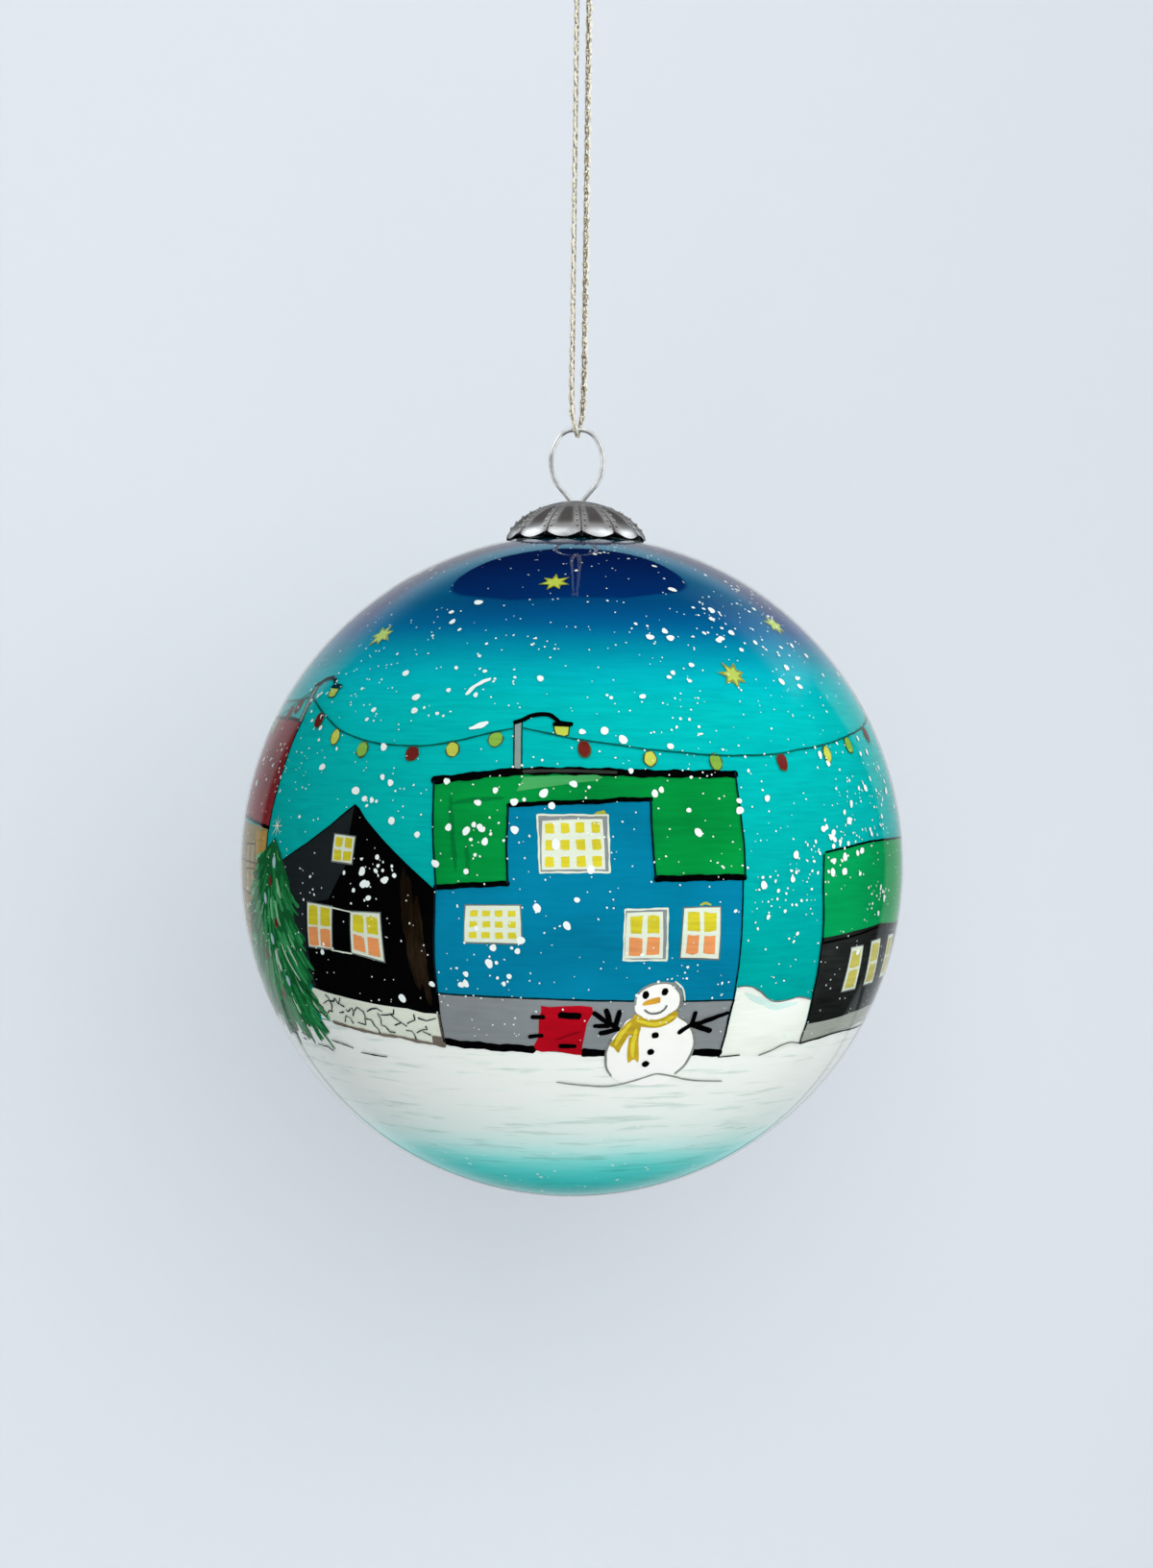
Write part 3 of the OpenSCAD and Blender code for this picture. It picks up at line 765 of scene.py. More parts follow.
def glass_profile(steps=110):
    """From the bottom up the outside, over the fire-rounded lip of the neck and down the inside.

    The ball's wall is only a skin here, so the paint reaches the edge of the view, as it does
    through real glass that bends the view outwards; the neck has its full thickness."""
    def arc(radius, stop):
        end = math.pi - math.asin(stop / radius)
        return [(radius * math.sin(end * k / steps), CENTRE.z - radius * math.cos(end * k / steps))
                for k in range(steps + 1)]
    bore = NECK_R - GLASS_T
    lip_r = GLASS_T / 2
    fillet_r = 0.5 * MM
    fillet_top = CENTRE.z + 40.25 * MM
    fillet = [(NECK_R + fillet_r * (1 - math.sin(a)), fillet_top - fillet_r * math.cos(a))
              for a in (0.3, 0.8, 1.2, math.pi / 2)]
    lip = [(bore + lip_r + lip_r * math.cos(a), NECK_TOP - lip_r + lip_r * math.sin(a))
           for a in (math.pi * k / 8 for k in range(9))]
    throat = [(bore, CENTRE.z + 40.4 * MM), (bore + 0.05 * MM, CENTRE.z + 40.05 * MM),
              (bore + 0.3 * MM, CENTRE.z + 39.77 * MM)]
    return arc(GLOBE_R, NECK_R + fillet_r) + fillet + lip + throat + arc(GLOBE_R - SKIN, 4.5 * MM)[::-1]


globe = lathe("glass_globe_blown", glass_profile(), 220, glass())
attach(globe, "globe")
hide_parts("glass_globe")


# ---- painting on the inside of the glass ----

LEVEL_GAP = 0.016 * MM               # from one coat of paint to the next one behind it
FILM_T = 0.006 * MM
# Levels of paint from the glass inwards: what lies in front of what.
FLAKES, MARKS, DETAIL, TRIM, OBJECTS, TREES, FRONTS, ROOFS, BEHIND, BACKS, GROUND = range(11)


def level_radius(level):
    return GLOBE_R - SKIN - 0.02 * MM - level * LEVEL_GAP


def direction(lon, lat):
    a, b = math.radians(lon), math.radians(lat)
    return Vector((math.cos(b) * math.sin(a), -math.cos(b) * math.cos(a), math.sin(b)))


def inside(points, outline):
    """For each of an array of points, whether it is inside an outline."""
    hit = np.zeros(len(points), bool)
    for (x1, y1), (x2, y2) in zip(outline, np.roll(outline, -1, 0)):
        cross = (y1 > points[:, 1]) != (y2 > points[:, 1])
        rise = y2 - y1 if y2 != y1 else 1e-12
        hit ^= cross & (points[:, 0] < (x2 - x1) * (points[:, 1] - y1) / rise + x1)
    return hit


def resampled(points, step, closed):
    """The same line or outline with extra points so that no gap is longer than step."""
    result = []
    count = len(points)
    for i in range(count if closed else count - 1):
        a, b = Vector(points[i]), Vector(points[(i + 1) % count])
        parts = max(1, math.ceil((b - a).length / step))
        result += [a.lerp(b, k / parts) for k in range(parts)]
    if not closed:
        result.append(Vector(points[-1]))
    return result


def middle_of(places):
    return (sum(p[0] for p in places) / len(places), sum(p[1] for p in places) / len(places))


# Places on the globe are (longitude, latitude) in degrees. Most outline points below were picked by eye in
# the picture, and turned into degrees by a separate script. They weren't worked out in this file.

class Painting:
    """One painted sub-part: flat films of paint that follow the inside of the glass.

    Shapes are laid out in millimetres on a plane that touches the globe at a centre point, and are
    then pressed on to it; centre is that point's (longitude, latitude)."""

    def __init__(self, node, centre=(0, 0), seed=1):
        self.node, self.pile, self.materials = node, Pile(), []
        self.random = random.Random(seed)
        self.move_to(centre)

    def move_to(self, centre):
        lon = math.radians(centre[0])
        self.out = direction(*centre)
        self.right = Vector((math.cos(lon), math.sin(lon), 0))
        self.up = self.out.cross(self.right)

    def flat(self, place):
        """A (longitude, latitude) as a point on the plane."""
        ray = direction(*place) * (PAINT_R / MM)
        return Vector((ray.dot(self.right), ray.dot(self.up)))

    def slot_of(self, material):
        if material not in self.materials:
            self.materials.append(material)
        return self.materials.index(material)

    def film(self, outline, material, level):
        """A closed film from an outline on the plane, in millimetres."""
        gap = 1.1
        edge = np.array([tuple(p) for p in resampled(outline, gap, closed=True)])
        x, y = edge[:, 0], edge[:, 1]
        if np.sum(x * np.roll(y, -1) - np.roll(x, -1) * y) < 0:
            edge = edge[::-1]
        low, high = edge.min(0), edge.max(0)
        xs, ys = np.arange(low[0] + gap / 2, high[0], gap), np.arange(low[1] + gap / 2, high[1], gap)
        grid = np.stack(np.meshgrid(xs, ys), -1).reshape(-1, 2)
        grid = grid[inside(grid, edge)]
        if len(grid):
            grid = grid[np.linalg.norm(grid[:, None] - edge[None], axis=2).min(1) > 0.5]
        points = [Vector(p) for p in np.concatenate([edge, grid])]
        flat, _, triangles = delaunay_2d_cdt(points, [], [list(range(len(edge)))], 1, 1e-5)[:3]
        self.press(flat, triangles, level_radius(level), self.slot_of(material))

    def press(self, flat, triangles, radius, slot):
        """The film of these flat triangles: a front, a back, and a wall round its edge."""
        r = PAINT_R / MM
        rays = []
        for p in flat:
            depth = math.sqrt(max(0.0, 1 - (p.x * p.x + p.y * p.y) / (r * r)))
            rays.append(self.right * (p.x / r) + self.up * (p.y / r) + self.out * depth)
        count = len(flat)
        vertices = [CENTRE + ray * radius for ray in rays]
        vertices += [CENTRE + ray * (radius - FILM_T) for ray in rays]
        sides = {edge for a, b, c in triangles for edge in ((a, b), (b, c), (c, a))}
        walls = [(b, a, a + count, b + count) for a, b in sides if (b, a) not in sides]
        faces = [tuple(t) for t in triangles] + [(c + count, b + count, a + count) for a, b, c in triangles]
        self.pile.put(vertices, faces + walls, slot)

    def shape(self, places, material, level, rounded=False):
        """A filled outline through places on the globe."""
        outline = [self.flat(p) for p in places]
        self.film(smooth_line(outline, 5, closed=True) if rounded else outline, material, level)

    def line(self, places, thickness, material, level, **how):
        """A brush or pen line of a thickness in mm."""
        self.flat_line([self.flat(p) for p in places], thickness, material, level, **how)

    def flat_line(self, points, thickness, material, level, wobble=0.12, taper=0.0, bent=True):
        """wobble makes the edges uneven, taper thins the ends, and bent rounds the corners."""
        if bent and len(points) > 2:
            points = smooth_line(points, 6)
        points = resampled(points, max(0.35, 0.8 * thickness), closed=False)
        last = len(points) - 1
        left, right = [], []
        phase = [self.random.uniform(0, 6.28) for _ in range(4)]
        travelled = 0.0
        for i, p in enumerate(points):
            if i:
                travelled += (p - points[i - 1]).length
            heading = (points[min(i + 1, last)] - points[max(i - 1, 0)]).normalized()
            normal = Vector((-heading.y, heading.x))
            thin = 1 - taper * (1 - abs(math.sin(math.pi * i / last)) ** 0.5)
            for side, edge, k in ((1, left, 0), (-1, right, 2)):
                sway = math.sin(travelled * 1.7 + phase[k]) + 0.6 * math.sin(travelled * 4.3 + phase[k + 1])
                edge.append(p + normal * side * 0.5 * thickness * thin * (1 + wobble * sway))
        ends = []
        for end, before in ((points[-1], points[-2]), (points[0], points[1])):
            heading = (end - before).normalized()
            normal = Vector((-heading.y, heading.x))
            half = 0.5 * thickness * (1 - taper)
            ends.append([end + half * (math.cos(a) * heading * 0.8 + math.sin(a) * normal)
                         for a in (0.9, 0.3, -0.3, -0.9)])
        self.film(left + ends[0] + right[::-1] + ends[1], material, level)

    def blob(self, place, rx, ry, material, level, **how):
        """A round or oval spot on the globe; rx and ry in mm."""
        self.flat_blob(self.flat(place), rx, ry, material, level, **how)

    def flat_blob(self, middle, rx, ry, material, level, lumps=0.08, lean=0.0, sides=14):
        """lumps makes the edge uneven, and lean turns an oval, in degrees."""
        c, s = math.cos(math.radians(lean)), math.sin(math.radians(lean))
        outline = []
        for k in range(sides):
            a = 2 * math.pi * k / sides
            grow = 1 + self.random.uniform(-lumps, lumps)
            x, y = rx * grow * math.cos(a), ry * grow * math.sin(a)
            outline.append(middle + Vector((x * c - y * s, x * s + y * c)))
        self.film(outline, material, level)

    def done(self):
        thing = self.pile.make(f"{self.node}_paint", self.materials)
        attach(thing, "globe")
        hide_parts(self.node)


BLACK = paint("black", (3, 3, 4), 0.1)
INK = paint("ink", (8, 34, 42), 0.1)
GREEN = paint("green", (4, 146, 62), 0.09)
BLUE = paint("blue", (4, 128, 163), 0.07)
GREY = paint("grey", (140, 146, 147), 0.05)
WHITE = paint("white", (255, 255, 248), 0.02)
RED = paint("red", (182, 12, 30), 0.1)
FRAME_WHITE = paint("frame_white", (226, 236, 216), 0.04)
YELLOW = paint("yellow", (216, 204, 50), 0.12)
ORANGE = paint("orange", (236, 156, 96), 0.08)
FADED_YELLOW = paint("faded_yellow", (202, 194, 98), 0.14)
SMUDGE = paint("smudge", (178, 182, 66), 0.1)
PEN_GREY = paint("pen_grey", (112, 120, 116), 0.2)


# ---- the ground coats ----

SNOW_LINE = -25.6
NECK_EDGE = 83.5                     # latitude where the sky paint stops under the neck


def coat(node, low, high, material):
    """A band of paint all round the inside of the globe between two latitudes."""
    around, rows = 220, 100
    vertices, faces = [], []
    for radius in (level_radius(GROUND), level_radius(GROUND) - FILM_T):
        for i in range(rows + 1):
            for k in range(around):
                lon = 360 * k / around
                start, stop = low(lon), high(lon)
                vertices.append(CENTRE + direction(lon, start + (stop - start) * i / rows) * radius)
    layer = (rows + 1) * around
    for i in range(rows):
        for k in range(around):
            m = (k + 1) % around
            a, b = i * around + k, i * around + m
            faces.append((a, b, b + around, a + around))
            faces.append((layer + b, layer + a, layer + a + around, layer + b + around))
    top = rows * around
    for k in range(around):
        m = (k + 1) % around
        faces.append((m, k, layer + k, layer + m))
        faces.append((top + k, top + m, layer + top + m, layer + top + k))
    thing = mesh_object(f"{node}_paint", vertices, faces, material)
    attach(thing, "globe")
    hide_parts(node)


def snow_edge(lon):
    """The snow's uneven upper edge."""
    a = math.radians(lon)
    return SNOW_LINE + 0.5 * math.sin(5 * a + 1) + 0.35 * math.sin(11 * a) + 0.2 * math.sin(23 * a + 2)


coat("sky_coat", lambda lon: snow_edge(lon) + 0.03, lambda lon: NECK_EDGE, sky_paint())
coat("snow_coat", lambda lon: -89.7, snow_edge, snow_paint())


# ---- windows ----

def all_yellow(row):
    return YELLOW


def faded(row):
    return FADED_YELLOW


def orange_below(row):
    return ORANGE if row else YELLOW


class Window:
    """A painted window: a white frame with bars round little panes of light.

    frame is its four corners from the top left clockwise. reveal, if given, is the corners of a
    grey recess with a thin white line round it; without one a thin grey line runs round the frame.
    bar and margin are in mm."""

    def __init__(self, frame, columns, rows, light, bar, margin, reveal=None, seed=0):
        self.frame, self.reveal = frame, reveal
        self.columns, self.rows, self.light = columns, rows, light
        self.bar, self.margin, self.seed = bar, margin, seed

    def at(self, painting, across, down):
        """A point in the frame: across and down are 0 to 1 from its top left corner."""
        a, b, c, d = [painting.flat(place) for place in self.frame]
        return a.lerp(b, across).lerp(d.lerp(c, across), down)

    def size(self, painting):
        wide = (self.at(painting, 1, 0.5) - self.at(painting, 0, 0.5)).length
        tall = (self.at(painting, 0.5, 1) - self.at(painting, 0.5, 0)).length
        return wide, tall

    def paint_frame(self, painting):
        wide, tall = self.size(painting)
        if self.reveal:
            painting.shape(self.reveal, GREY, OBJECTS)
            for a, b in zip(self.reveal, self.reveal[1:] + self.reveal[:1]):
                painting.line([a, b], 0.2, FRAME_WHITE, TRIM, wobble=0.3)
        else:
            x, y = 0.16 / wide, 0.16 / tall
            corners = [(-x, -y), (1 + x, -y), (1 + x, 1 + y), (-x, 1 + y)]
            painting.film([self.at(painting, *c) for c in corners], PEN_GREY, OBJECTS)
        edge = [(0, 0), (0.5, -0.01), (1, 0), (1.01, 0.5), (1, 1), (0.5, 0.99), (0, 1), (-0.01, 0.5)]
        painting.film([self.at(painting, *p) for p in edge], FRAME_WHITE, TRIM)

    def paint_panes(self, painting):
        rng = random.Random(self.seed)
        wide, tall = self.size(painting)
        pane_x = (wide - 2 * self.margin - (self.columns - 1) * self.bar) / self.columns
        pane_y = (tall - 2 * self.margin - (self.rows - 1) * self.bar) / self.rows
        for row in range(self.rows):
            for column in range(self.columns):
                x0 = self.margin + column * (pane_x + self.bar)
                y0 = self.margin + row * (pane_y + self.bar)
                around = [(0, 0), (0.5, -0.02), (1, 0), (1.0, 1), (0.5, 1.03), (0, 1)]
                points = [((x0 + pane_x * (u + rng.uniform(-0.07, 0.07))) / wide,
                           (y0 + pane_y * (v + rng.uniform(-0.06, 0.06))) / tall) for u, v in around]
                painting.film([self.at(painting, *p) for p in points], self.light(row), DETAIL)


WINDOWS = [
    Window([(-4.7, 9.2), (4.7, 9.6), (5.2, 1.8), (-4.6, 1.6)], 4, 3, all_yellow, 0.72, 0.32,
           reveal=[(-5.5, 10.1), (5.6, 10.2), (5.9, 1.4), (-4.9, 1.2)], seed=1),
    Window([(-16.6, -4.2), (-8.0, -4.0), (-7.8, -9.9), (-17.0, -9.9)], 4, 3, all_yellow, 0.55, 0.5, seed=2),
    Window([(8.7, -4.9), (14.4, -4.7), (14.8, -12.1), (8.6, -12.1)], 2, 2, orange_below, 0.52, 0.42,
           reveal=[(8.4, -4.4), (15.2, -4.2), (15.5, -12.4), (8.4, -12.4)], seed=3),
    Window([(17.9, -4.2), (24.0, -4.1), (24.4, -12.3), (17.8, -12.0)], 2, 2, orange_below, 0.52, 0.5, seed=4),
    Window([(-41.5, 6.2), (-37.1, 5.9), (-37.5, 1.7), (-41.8, 2.0)], 2, 2, all_yellow, 0.36, 0.2, seed=5),
    Window([(-48.0, -5.0), (-42.0, -5.4), (-43.0, -12.3),
            (-48.9, -12.2)], 2, 2, orange_below, 0.38, 0.22, seed=6),
    Window([(-37.8, -6.0), (-31.9, -6.0), (-31.9, -13.7),
            (-38.4, -12.6)], 2, 2, orange_below, 0.38, 0.4, seed=7),
    Window([(54.8, -11.7), (58.8, -11.5), (60.1, -19.0), (55.2, -19.2)], 1, 2, faded, 0.45, 0.4, seed=9),
    Window([(62.1, -11.0), (66.4, -10.8), (68.7, -18.5), (63.8, -18.6)], 1, 2, faded, 0.45, 0.4, seed=10),
    Window([(71.5, -10.5), (76.5, -10.5), (79.5, -18.0), (73.5, -18.0)], 1, 2, faded, 0.45, 0.4, seed=11),
]


def make_windows(windows):
    frames, panes = Painting("window_frames"), Painting("window_panes")
    for window in windows:
        for painting in (frames, panes):
            painting.move_to(middle_of(window.frame))
        window.paint_frame(frames)
        window.paint_panes(panes)
    frames.move_to((-40, -9))
    frames.line([(-42.0, -5.5), (-37.9, -6.0)], 0.16, FRAME_WHITE, TRIM)
    frames.line([(-43.1, -12.5), (-38.5, -12.8)], 0.16, FRAME_WHITE, TRIM)
    frames.move_to((21, -4))
    frames.line([(20.5, -3.7), (21.4, -3.4), (22.4, -3.7)], 0.26, SMUDGE, TRIM, taper=0.6)
    frames.move_to((4, 10))
    frames.shape([(3.3, 10.3), (3.8, 10.7), (5.0, 11.0), (5.5, 10.2), (4.9, 10.0), (3.8, 10.0)], SMUDGE, TRIM)
    frames.done()
    panes.done()


# ---- the blue house ----

def make_blue_house():
    fine, middling, thick = 0.2, 0.48, 0.84
    left = [(-21.7, -1.5), (-22.3, -11.6), (-22.5, -18.6)]
    right = [(28.0, 0.5), (28.3, -10.7), (28.5, -19.3)]
    gable_left = [(-10.2, 11.5), (-10.2, 5.0), (-9.9, -0.6)]
    gable_right = [(12.5, 12.6), (12.6, 7.0), (13.1, 0.6)]
    eaves_left = [(-21.7, -1.5), (-16.2, -1.0), (-9.9, -0.6)]
    eaves_right = [(13.2, 0.4), (17.9, 0.5), (28.2, 0.6)]
    gable_top = [(-10.2, 11.5), (-4.3, 12.0), (3.8, 12.3), (8.2, 12.7), (12.6, 12.7)]
    sill = [(-22.5, -18.6), (-5.8, -18.9), (11.8, -19.2), (28.5, -19.3)]
    house = Painting("blue_house", (3, -6), seed=11)
    house.shape(eaves_left[:2] + gable_left[::-1] + gable_top[1:-1] + gable_right + right + sill[::-1]
                + left[1:2],
                BLUE, FRONTS)
    house.line(left, fine, INK, MARKS)
    house.line(right, fine, INK, TREES)
    house.line(gable_left, 0.24, INK, MARKS)
    house.line(gable_right, 0.24, INK, MARKS)
    house.line(gable_top, middling, BLACK, MARKS)
    house.line(sill, fine, INK, TREES)
    house.done()

    roof = Painting("blue_house_roof", (3, 8), seed=12)
    ridge = [(-23.1, 15.3), (-17.2, 16.0), (-11.7, 16.7), (-4.5, 17.1), (3.9, 17.1), (11.1, 16.9),
             (18.6, 16.9), (27.7, 16.9)]
    side = [(27.7, 17.2), (27.8, 12.2), (28.2, 5.3), (28.3, 0.7)]
    roof.shape(ridge + side + [(13.1, 0.3), (-9.9, -0.7), (-21.7, -1.6), (-22.4, 7.0)], GREEN, ROOFS)
    pale = paint("pale_green", (74, 172, 98), 0.06)
    roof.shape([(-9.0, 13.8), (3.9, 15.7), (4.9, 16.2), (3.9, 16.6), (-8.0, 16.1)], pale, TREES)
    dark = paint("dark_green", (5, 122, 54), 0.1)
    for stroke in ([(-19.9, 12.9), (-19.3, 8.3), (-18.3, 1.1)], [(-16.7, 5.2), (-16.2, 0.4)],
                   [(-19.8, 11.7), (-15.0, 12.4), (-11.1, 12.7)]):
        roof.line(stroke, 0.5, dark, TREES, wobble=0.2, taper=0.7)
    roof.line(ridge, thick, BLACK, MARKS, wobble=0.16)
    roof.line([(-8.0, 16.95), (-1.0, 17.15),
               (7.0, 17.0)], 0.34, paint("worn_ridge", (52, 56, 50), 0.3), FLAKES)
    roof.line(eaves_left, 0.6, BLACK, MARKS)
    roof.line(eaves_right, 0.7, BLACK, MARKS)
    roof.line([(-23.1, 15.2), (-22.4, 7.0), (-21.6, -1.4)], fine, INK, MARKS)
    roof.line(side, fine, INK, MARKS)
    roof.done()

    base = Painting("blue_house_base", (3, -24), seed=13)
    base.shape(sill + [(28.3, -22.5), (28.5, -26.2), (28.4, -28.7), (11.8, -28.6), (-6.0, -28.2),
                       (-22.7, -27.2), (-22.7, -22.6)], GREY, ROOFS)
    for bar in ([(-22.6, -27.2), (-14.7, -27.7), (-6.5, -27.9)], [(2.5, -28.4), (6.6, -28.5)],
                [(22.5, -28.6), (28.3, -28.9)]):
        base.line(bar, 0.96, BLACK, TREES, wobble=0.16)
    base.line([(28.5, -19.3), (28.3, -22.5), (28.5, -26.2), (28.4, -29.6)], 0.22, BLACK, MARKS)
    base.line([(-22.5, -18.6), (-22.7, -22.6), (-22.8, -27.2)], 0.22, BLACK, MARKS)
    base.done()

    door = Painting("red_door", (-1, -25), seed=14)
    door.shape([(-4.8, -20.1), (-3.4, -20.3), (-1.0, -20.1), (1.7, -20.0), (3.7, -20.2), (3.9, -21.2),
                (2.9, -23.1), (2.6, -25.3), (2.3, -26.9), (2.2, -28.9), (0.9, -28.8), (-2.5, -28.2),
                (-4.9, -28.4), (-5.9, -28.1), (-6.3, -27.3), (-5.4, -25.7), (-5.2, -22.2),
                (-4.8, -21.1)], RED, OBJECTS)
    door.line([(-2.5, -26.2), (-0.2, -25.2),
               (2.1, -24.5)], 0.3, paint("dark_red", (150, 8, 22), 0.1), TRIM, taper=0.6)
    door.line([(-1.5, -21.7), (1.5, -21.7)], 0.8, BLACK, MARKS, wobble=0.12)
    door.line([(-1.6, -27.2), (0.9, -27.2)], 0.56, BLACK, MARKS, wobble=0.12)
    door.line([(-6.3, -22.1), (-4.4, -22.0)], 0.5, BLACK, MARKS)
    door.line([(-6.9, -25.6), (-4.8, -25.3)], 0.5, BLACK, MARKS)
    door.done()


# ---- the black house and its wall ----

CRACKS = [
    [(-47.4, -20.3), (-46.7, -21.0), (-46.4, -22.2), (-47.1, -23.4)],
    [(-48.6, -22.0), (-47.3, -21.4), (-45.5, -21.4), (-45.0, -20.8), (-44.5, -21.8)],
    [(-43.6, -20.7), (-44.3, -21.7), (-43.1, -22.2)], [(-48.4, -23.8), (-47.6, -23.2), (-46.8, -23.3)],
    [(-44.9, -23.4), (-43.7, -23.2)], [(-42.8, -22.7), (-42.5, -23.0), (-41.7, -22.5)],
    [(-41.3, -22.3), (-41.0, -22.9), (-41.5, -23.7)],
    [(-40.7, -22.7), (-39.9, -22.1), (-38.6, -22.7), (-38.5, -23.5), (-39.0, -25.1), (-40.7, -24.8)],
    [(-37.7, -22.6), (-36.6, -22.1), (-35.3, -21.9), (-34.3, -22.4)],
    [(-44.2, -25.0), (-43.4, -23.8), (-42.4, -24.2), (-42.1, -25.1)],
    [(-38.4, -24.0), (-37.3, -24.1), (-36.9, -25.2), (-36.2, -25.8), (-36.1, -26.5)],
    [(-35.4, -22.8), (-35.0, -23.9), (-35.3, -24.9), (-34.4, -25.1), (-33.7, -26.0), (-32.6, -26.1)],
    [(-34.7, -23.0), (-33.1, -22.9), (-31.9, -22.7), (-31.6, -21.9)],
    [(-32.6, -22.7), (-31.9, -23.4), (-31.0, -24.0), (-29.7, -24.7)], [(-32.2, -24.7), (-30.7, -24.2)],
    [(-29.4, -24.2), (-27.7, -23.5), (-27.7, -22.5)], [(-27.0, -23.1), (-25.4, -23.5), (-23.6, -23.0)],
    [(-30.0, -25.5), (-28.9, -25.6), (-28.5, -26.2), (-28.4, -27.1)],
    [(-27.9, -25.8), (-26.7, -25.2), (-25.6, -25.1), (-25.8, -24.5)], [(-26.6, -25.5), (-25.2, -26.1)],
]


SNOW_MARKS = [
    [(-50.6, -29.0), (-47.9, -29.4), (-44.9, -30.0)], [(-56.9, -30.4), (-53.6, -30.5), (-51.9, -31.2)],
    [(-43.0, -30.7), (-39.9, -30.9), (-36.5, -31.0)], [(-70.4, -28.7), (-65.4, -29.2)],
    [(-62.2, -28.6), (-58.5, -29.2)], [(-62.8, -29.7), (-61.5, -30.0)],
]


def make_black_house():
    foot = [(-50.6, -19.4), (-47.6, -19.9), (-43.1, -20.4), (-38.7, -20.9), (-34.6, -21.3), (-28.9, -21.6),
            (-25.8, -22.2), (-22.9, -22.2)]
    house = Painting("black_house", (-38, -6), seed=21)
    house.shape([(-57.0, 1.0), (-55.6, 1.6), (-48.2, 4.8), (-43.0, 7.7), (-39.6, 10.1), (-37.9, 11.2),
                 (-36.9, 10.6), (-35.4, 9.0), (-31.7, 5.9), (-27.8, 2.8), (-23.4, -0.6), (-21.8, -1.9),
                 (-21.9, -4.7), (-22.3, -11.4), (-22.5, -18.5)]
                + foot[::-1] + [(-54.2, -16.0), (-56.0, -12.4), (-57.3, -9.1)],
                BLACK, BEHIND)
    # A lighter charcoal patch over the upper left of the black house: a painted reflection.
    house.shape([(-55.6, 1.4), (-48.2, 4.5), (-43.0, 7.4), (-38.0, 10.8), (-38.9, 1.3), (-42.9, -4.3),
                 (-48.6, -5.0), (-49.6, -12.0), (-49.6, -19.2), (-51.0, -19.0), (-54.2, -15.8),
                 (-57.0, -9.0)],
                paint("painted_sheen_black", (32, 38, 40), 0.06), ROOFS)
    # Brownish upright streaks on the right part of the black house.
    brown_streak_paint = paint("brown_streaks_on_black", (26, 18, 9), 0.5, UPRIGHT_STREAK)
    for lon, high, low, thickness in ((-27.4, 1.4, -13.0, 0.9), (-26.6, 0.0, -18.0, 1.5),
                                       (-25.0, -3.0, -20.6, 1.2)):
        house.line([(lon, high), (lon + 0.2, (high + low) / 2), (lon + 0.9, low)], thickness, brown_streak_paint, ROOFS,
                   wobble=0.1, taper=0.8)
    house.done()

    wall = Painting("stone_wall", (-38, -24), seed=22)
    under = [(-47.6, -25.3), (-41.7, -26.1), (-36.0, -26.7), (-31.6, -26.9), (-28.5, -27.4), (-25.3, -27.7),
             (-22.9, -28.0)]
    end = [(-22.9, -22.3), (-22.9, -24.5), (-22.8, -28.0)]
    wall.shape([(-52.5, -20.5)] + foot + end[1:] + under[-2::-1] + [(-51.0, -24.9), (-51.9, -23.6)],
               paint("stone", (232, 238, 220), 0.05), ROOFS)
    brown_grey = paint("brown_grey", (122, 112, 100), 0.15)
    wall.line(under, 0.34, brown_grey, MARKS, wobble=0.25)
    wall.line(end, 0.26, brown_grey, MARKS)
    wall.shape([(-25.0, -26.2), (-23.1, -26.3), (-22.8, -28.0), (-25.2, -27.8)], brown_grey, OBJECTS)
    for crack in CRACKS + SNOW_MARKS:
        wall.line(crack, 0.15, INK, MARKS, wobble=0.3, bent=False)
    wall.done()


# ---- the houses beyond ----

def make_tall_house():
    house = Painting("tall_house", (-80, -8), seed=31)
    house.shape([(-95, 7), (-80, 7.4), (-61.7, 6.7), (-62.3, -7.8), (-62.8, -26), (-80, -26), (-94, -26)],
                paint("tan", (160, 144, 92), 0.1), BACKS)
    house.shape([(-68.0, 5.9), (-62.4, 6.1), (-62.0, 1.9),
                 (-66.9, 1.7)], paint("sunlit", (190, 156, 84), 0.1), BEHIND)
    house.shape([(-73.6, 3.5), (-67.8, 3.8), (-67.7, -4.7),
                 (-73.6, -5.0)], paint("pale_tan", (186, 170, 124), 0.1), BEHIND)
    board = paint("board", (112, 100, 64), 0.15)
    for k in range(5):
        lat = 0.5 - 5.2 * k
        house.line([(-94, lat), (-80, lat + 0.3), (-62.6, lat)], 0.2, board, ROOFS, wobble=0.3)
    for edge in ([(-73.6, 3.5), (-67.8, 3.8)], [(-67.8, 3.8), (-67.7, -4.7)], [(-67.7, -4.7), (-73.6, -5.0)],
                 [(-70.6, 3.6), (-70.5, -4.8)], [(-73.6, -0.6), (-67.8, -0.4)]):
        house.line(edge, 0.2, board, ROOFS)
    house.line([(-61.7, 6.6), (-62.3, -7.8), (-62.8, -26)], 0.2, INK, ROOFS)
    house.done()
    roof = Painting("tall_house_roof", (-78, 16), seed=32)
    top, side = ([(-93, 25.6), (-76.7, 25.8), (-66.6, 25.6), (-59.9, 25.1)],
                 [(-60.3, 22.0), (-60.6, 15.1), (-61.6, 6.6)])
    roof.shape(top + side + [(-77.3, 8.1), (-96, 8)], paint("burgundy", (142, 48, 52), 0.14), BACKS)
    roof.line([(-96, 7.6), (-77.3, 8.0), (-61.6, 6.6)], 0.4, BLACK, ROOFS)
    roof.line(top, 0.42, BLACK, ROOFS)
    roof.line(top[-1:] + side, 0.2, BLACK, ROOFS)
    roof.done()


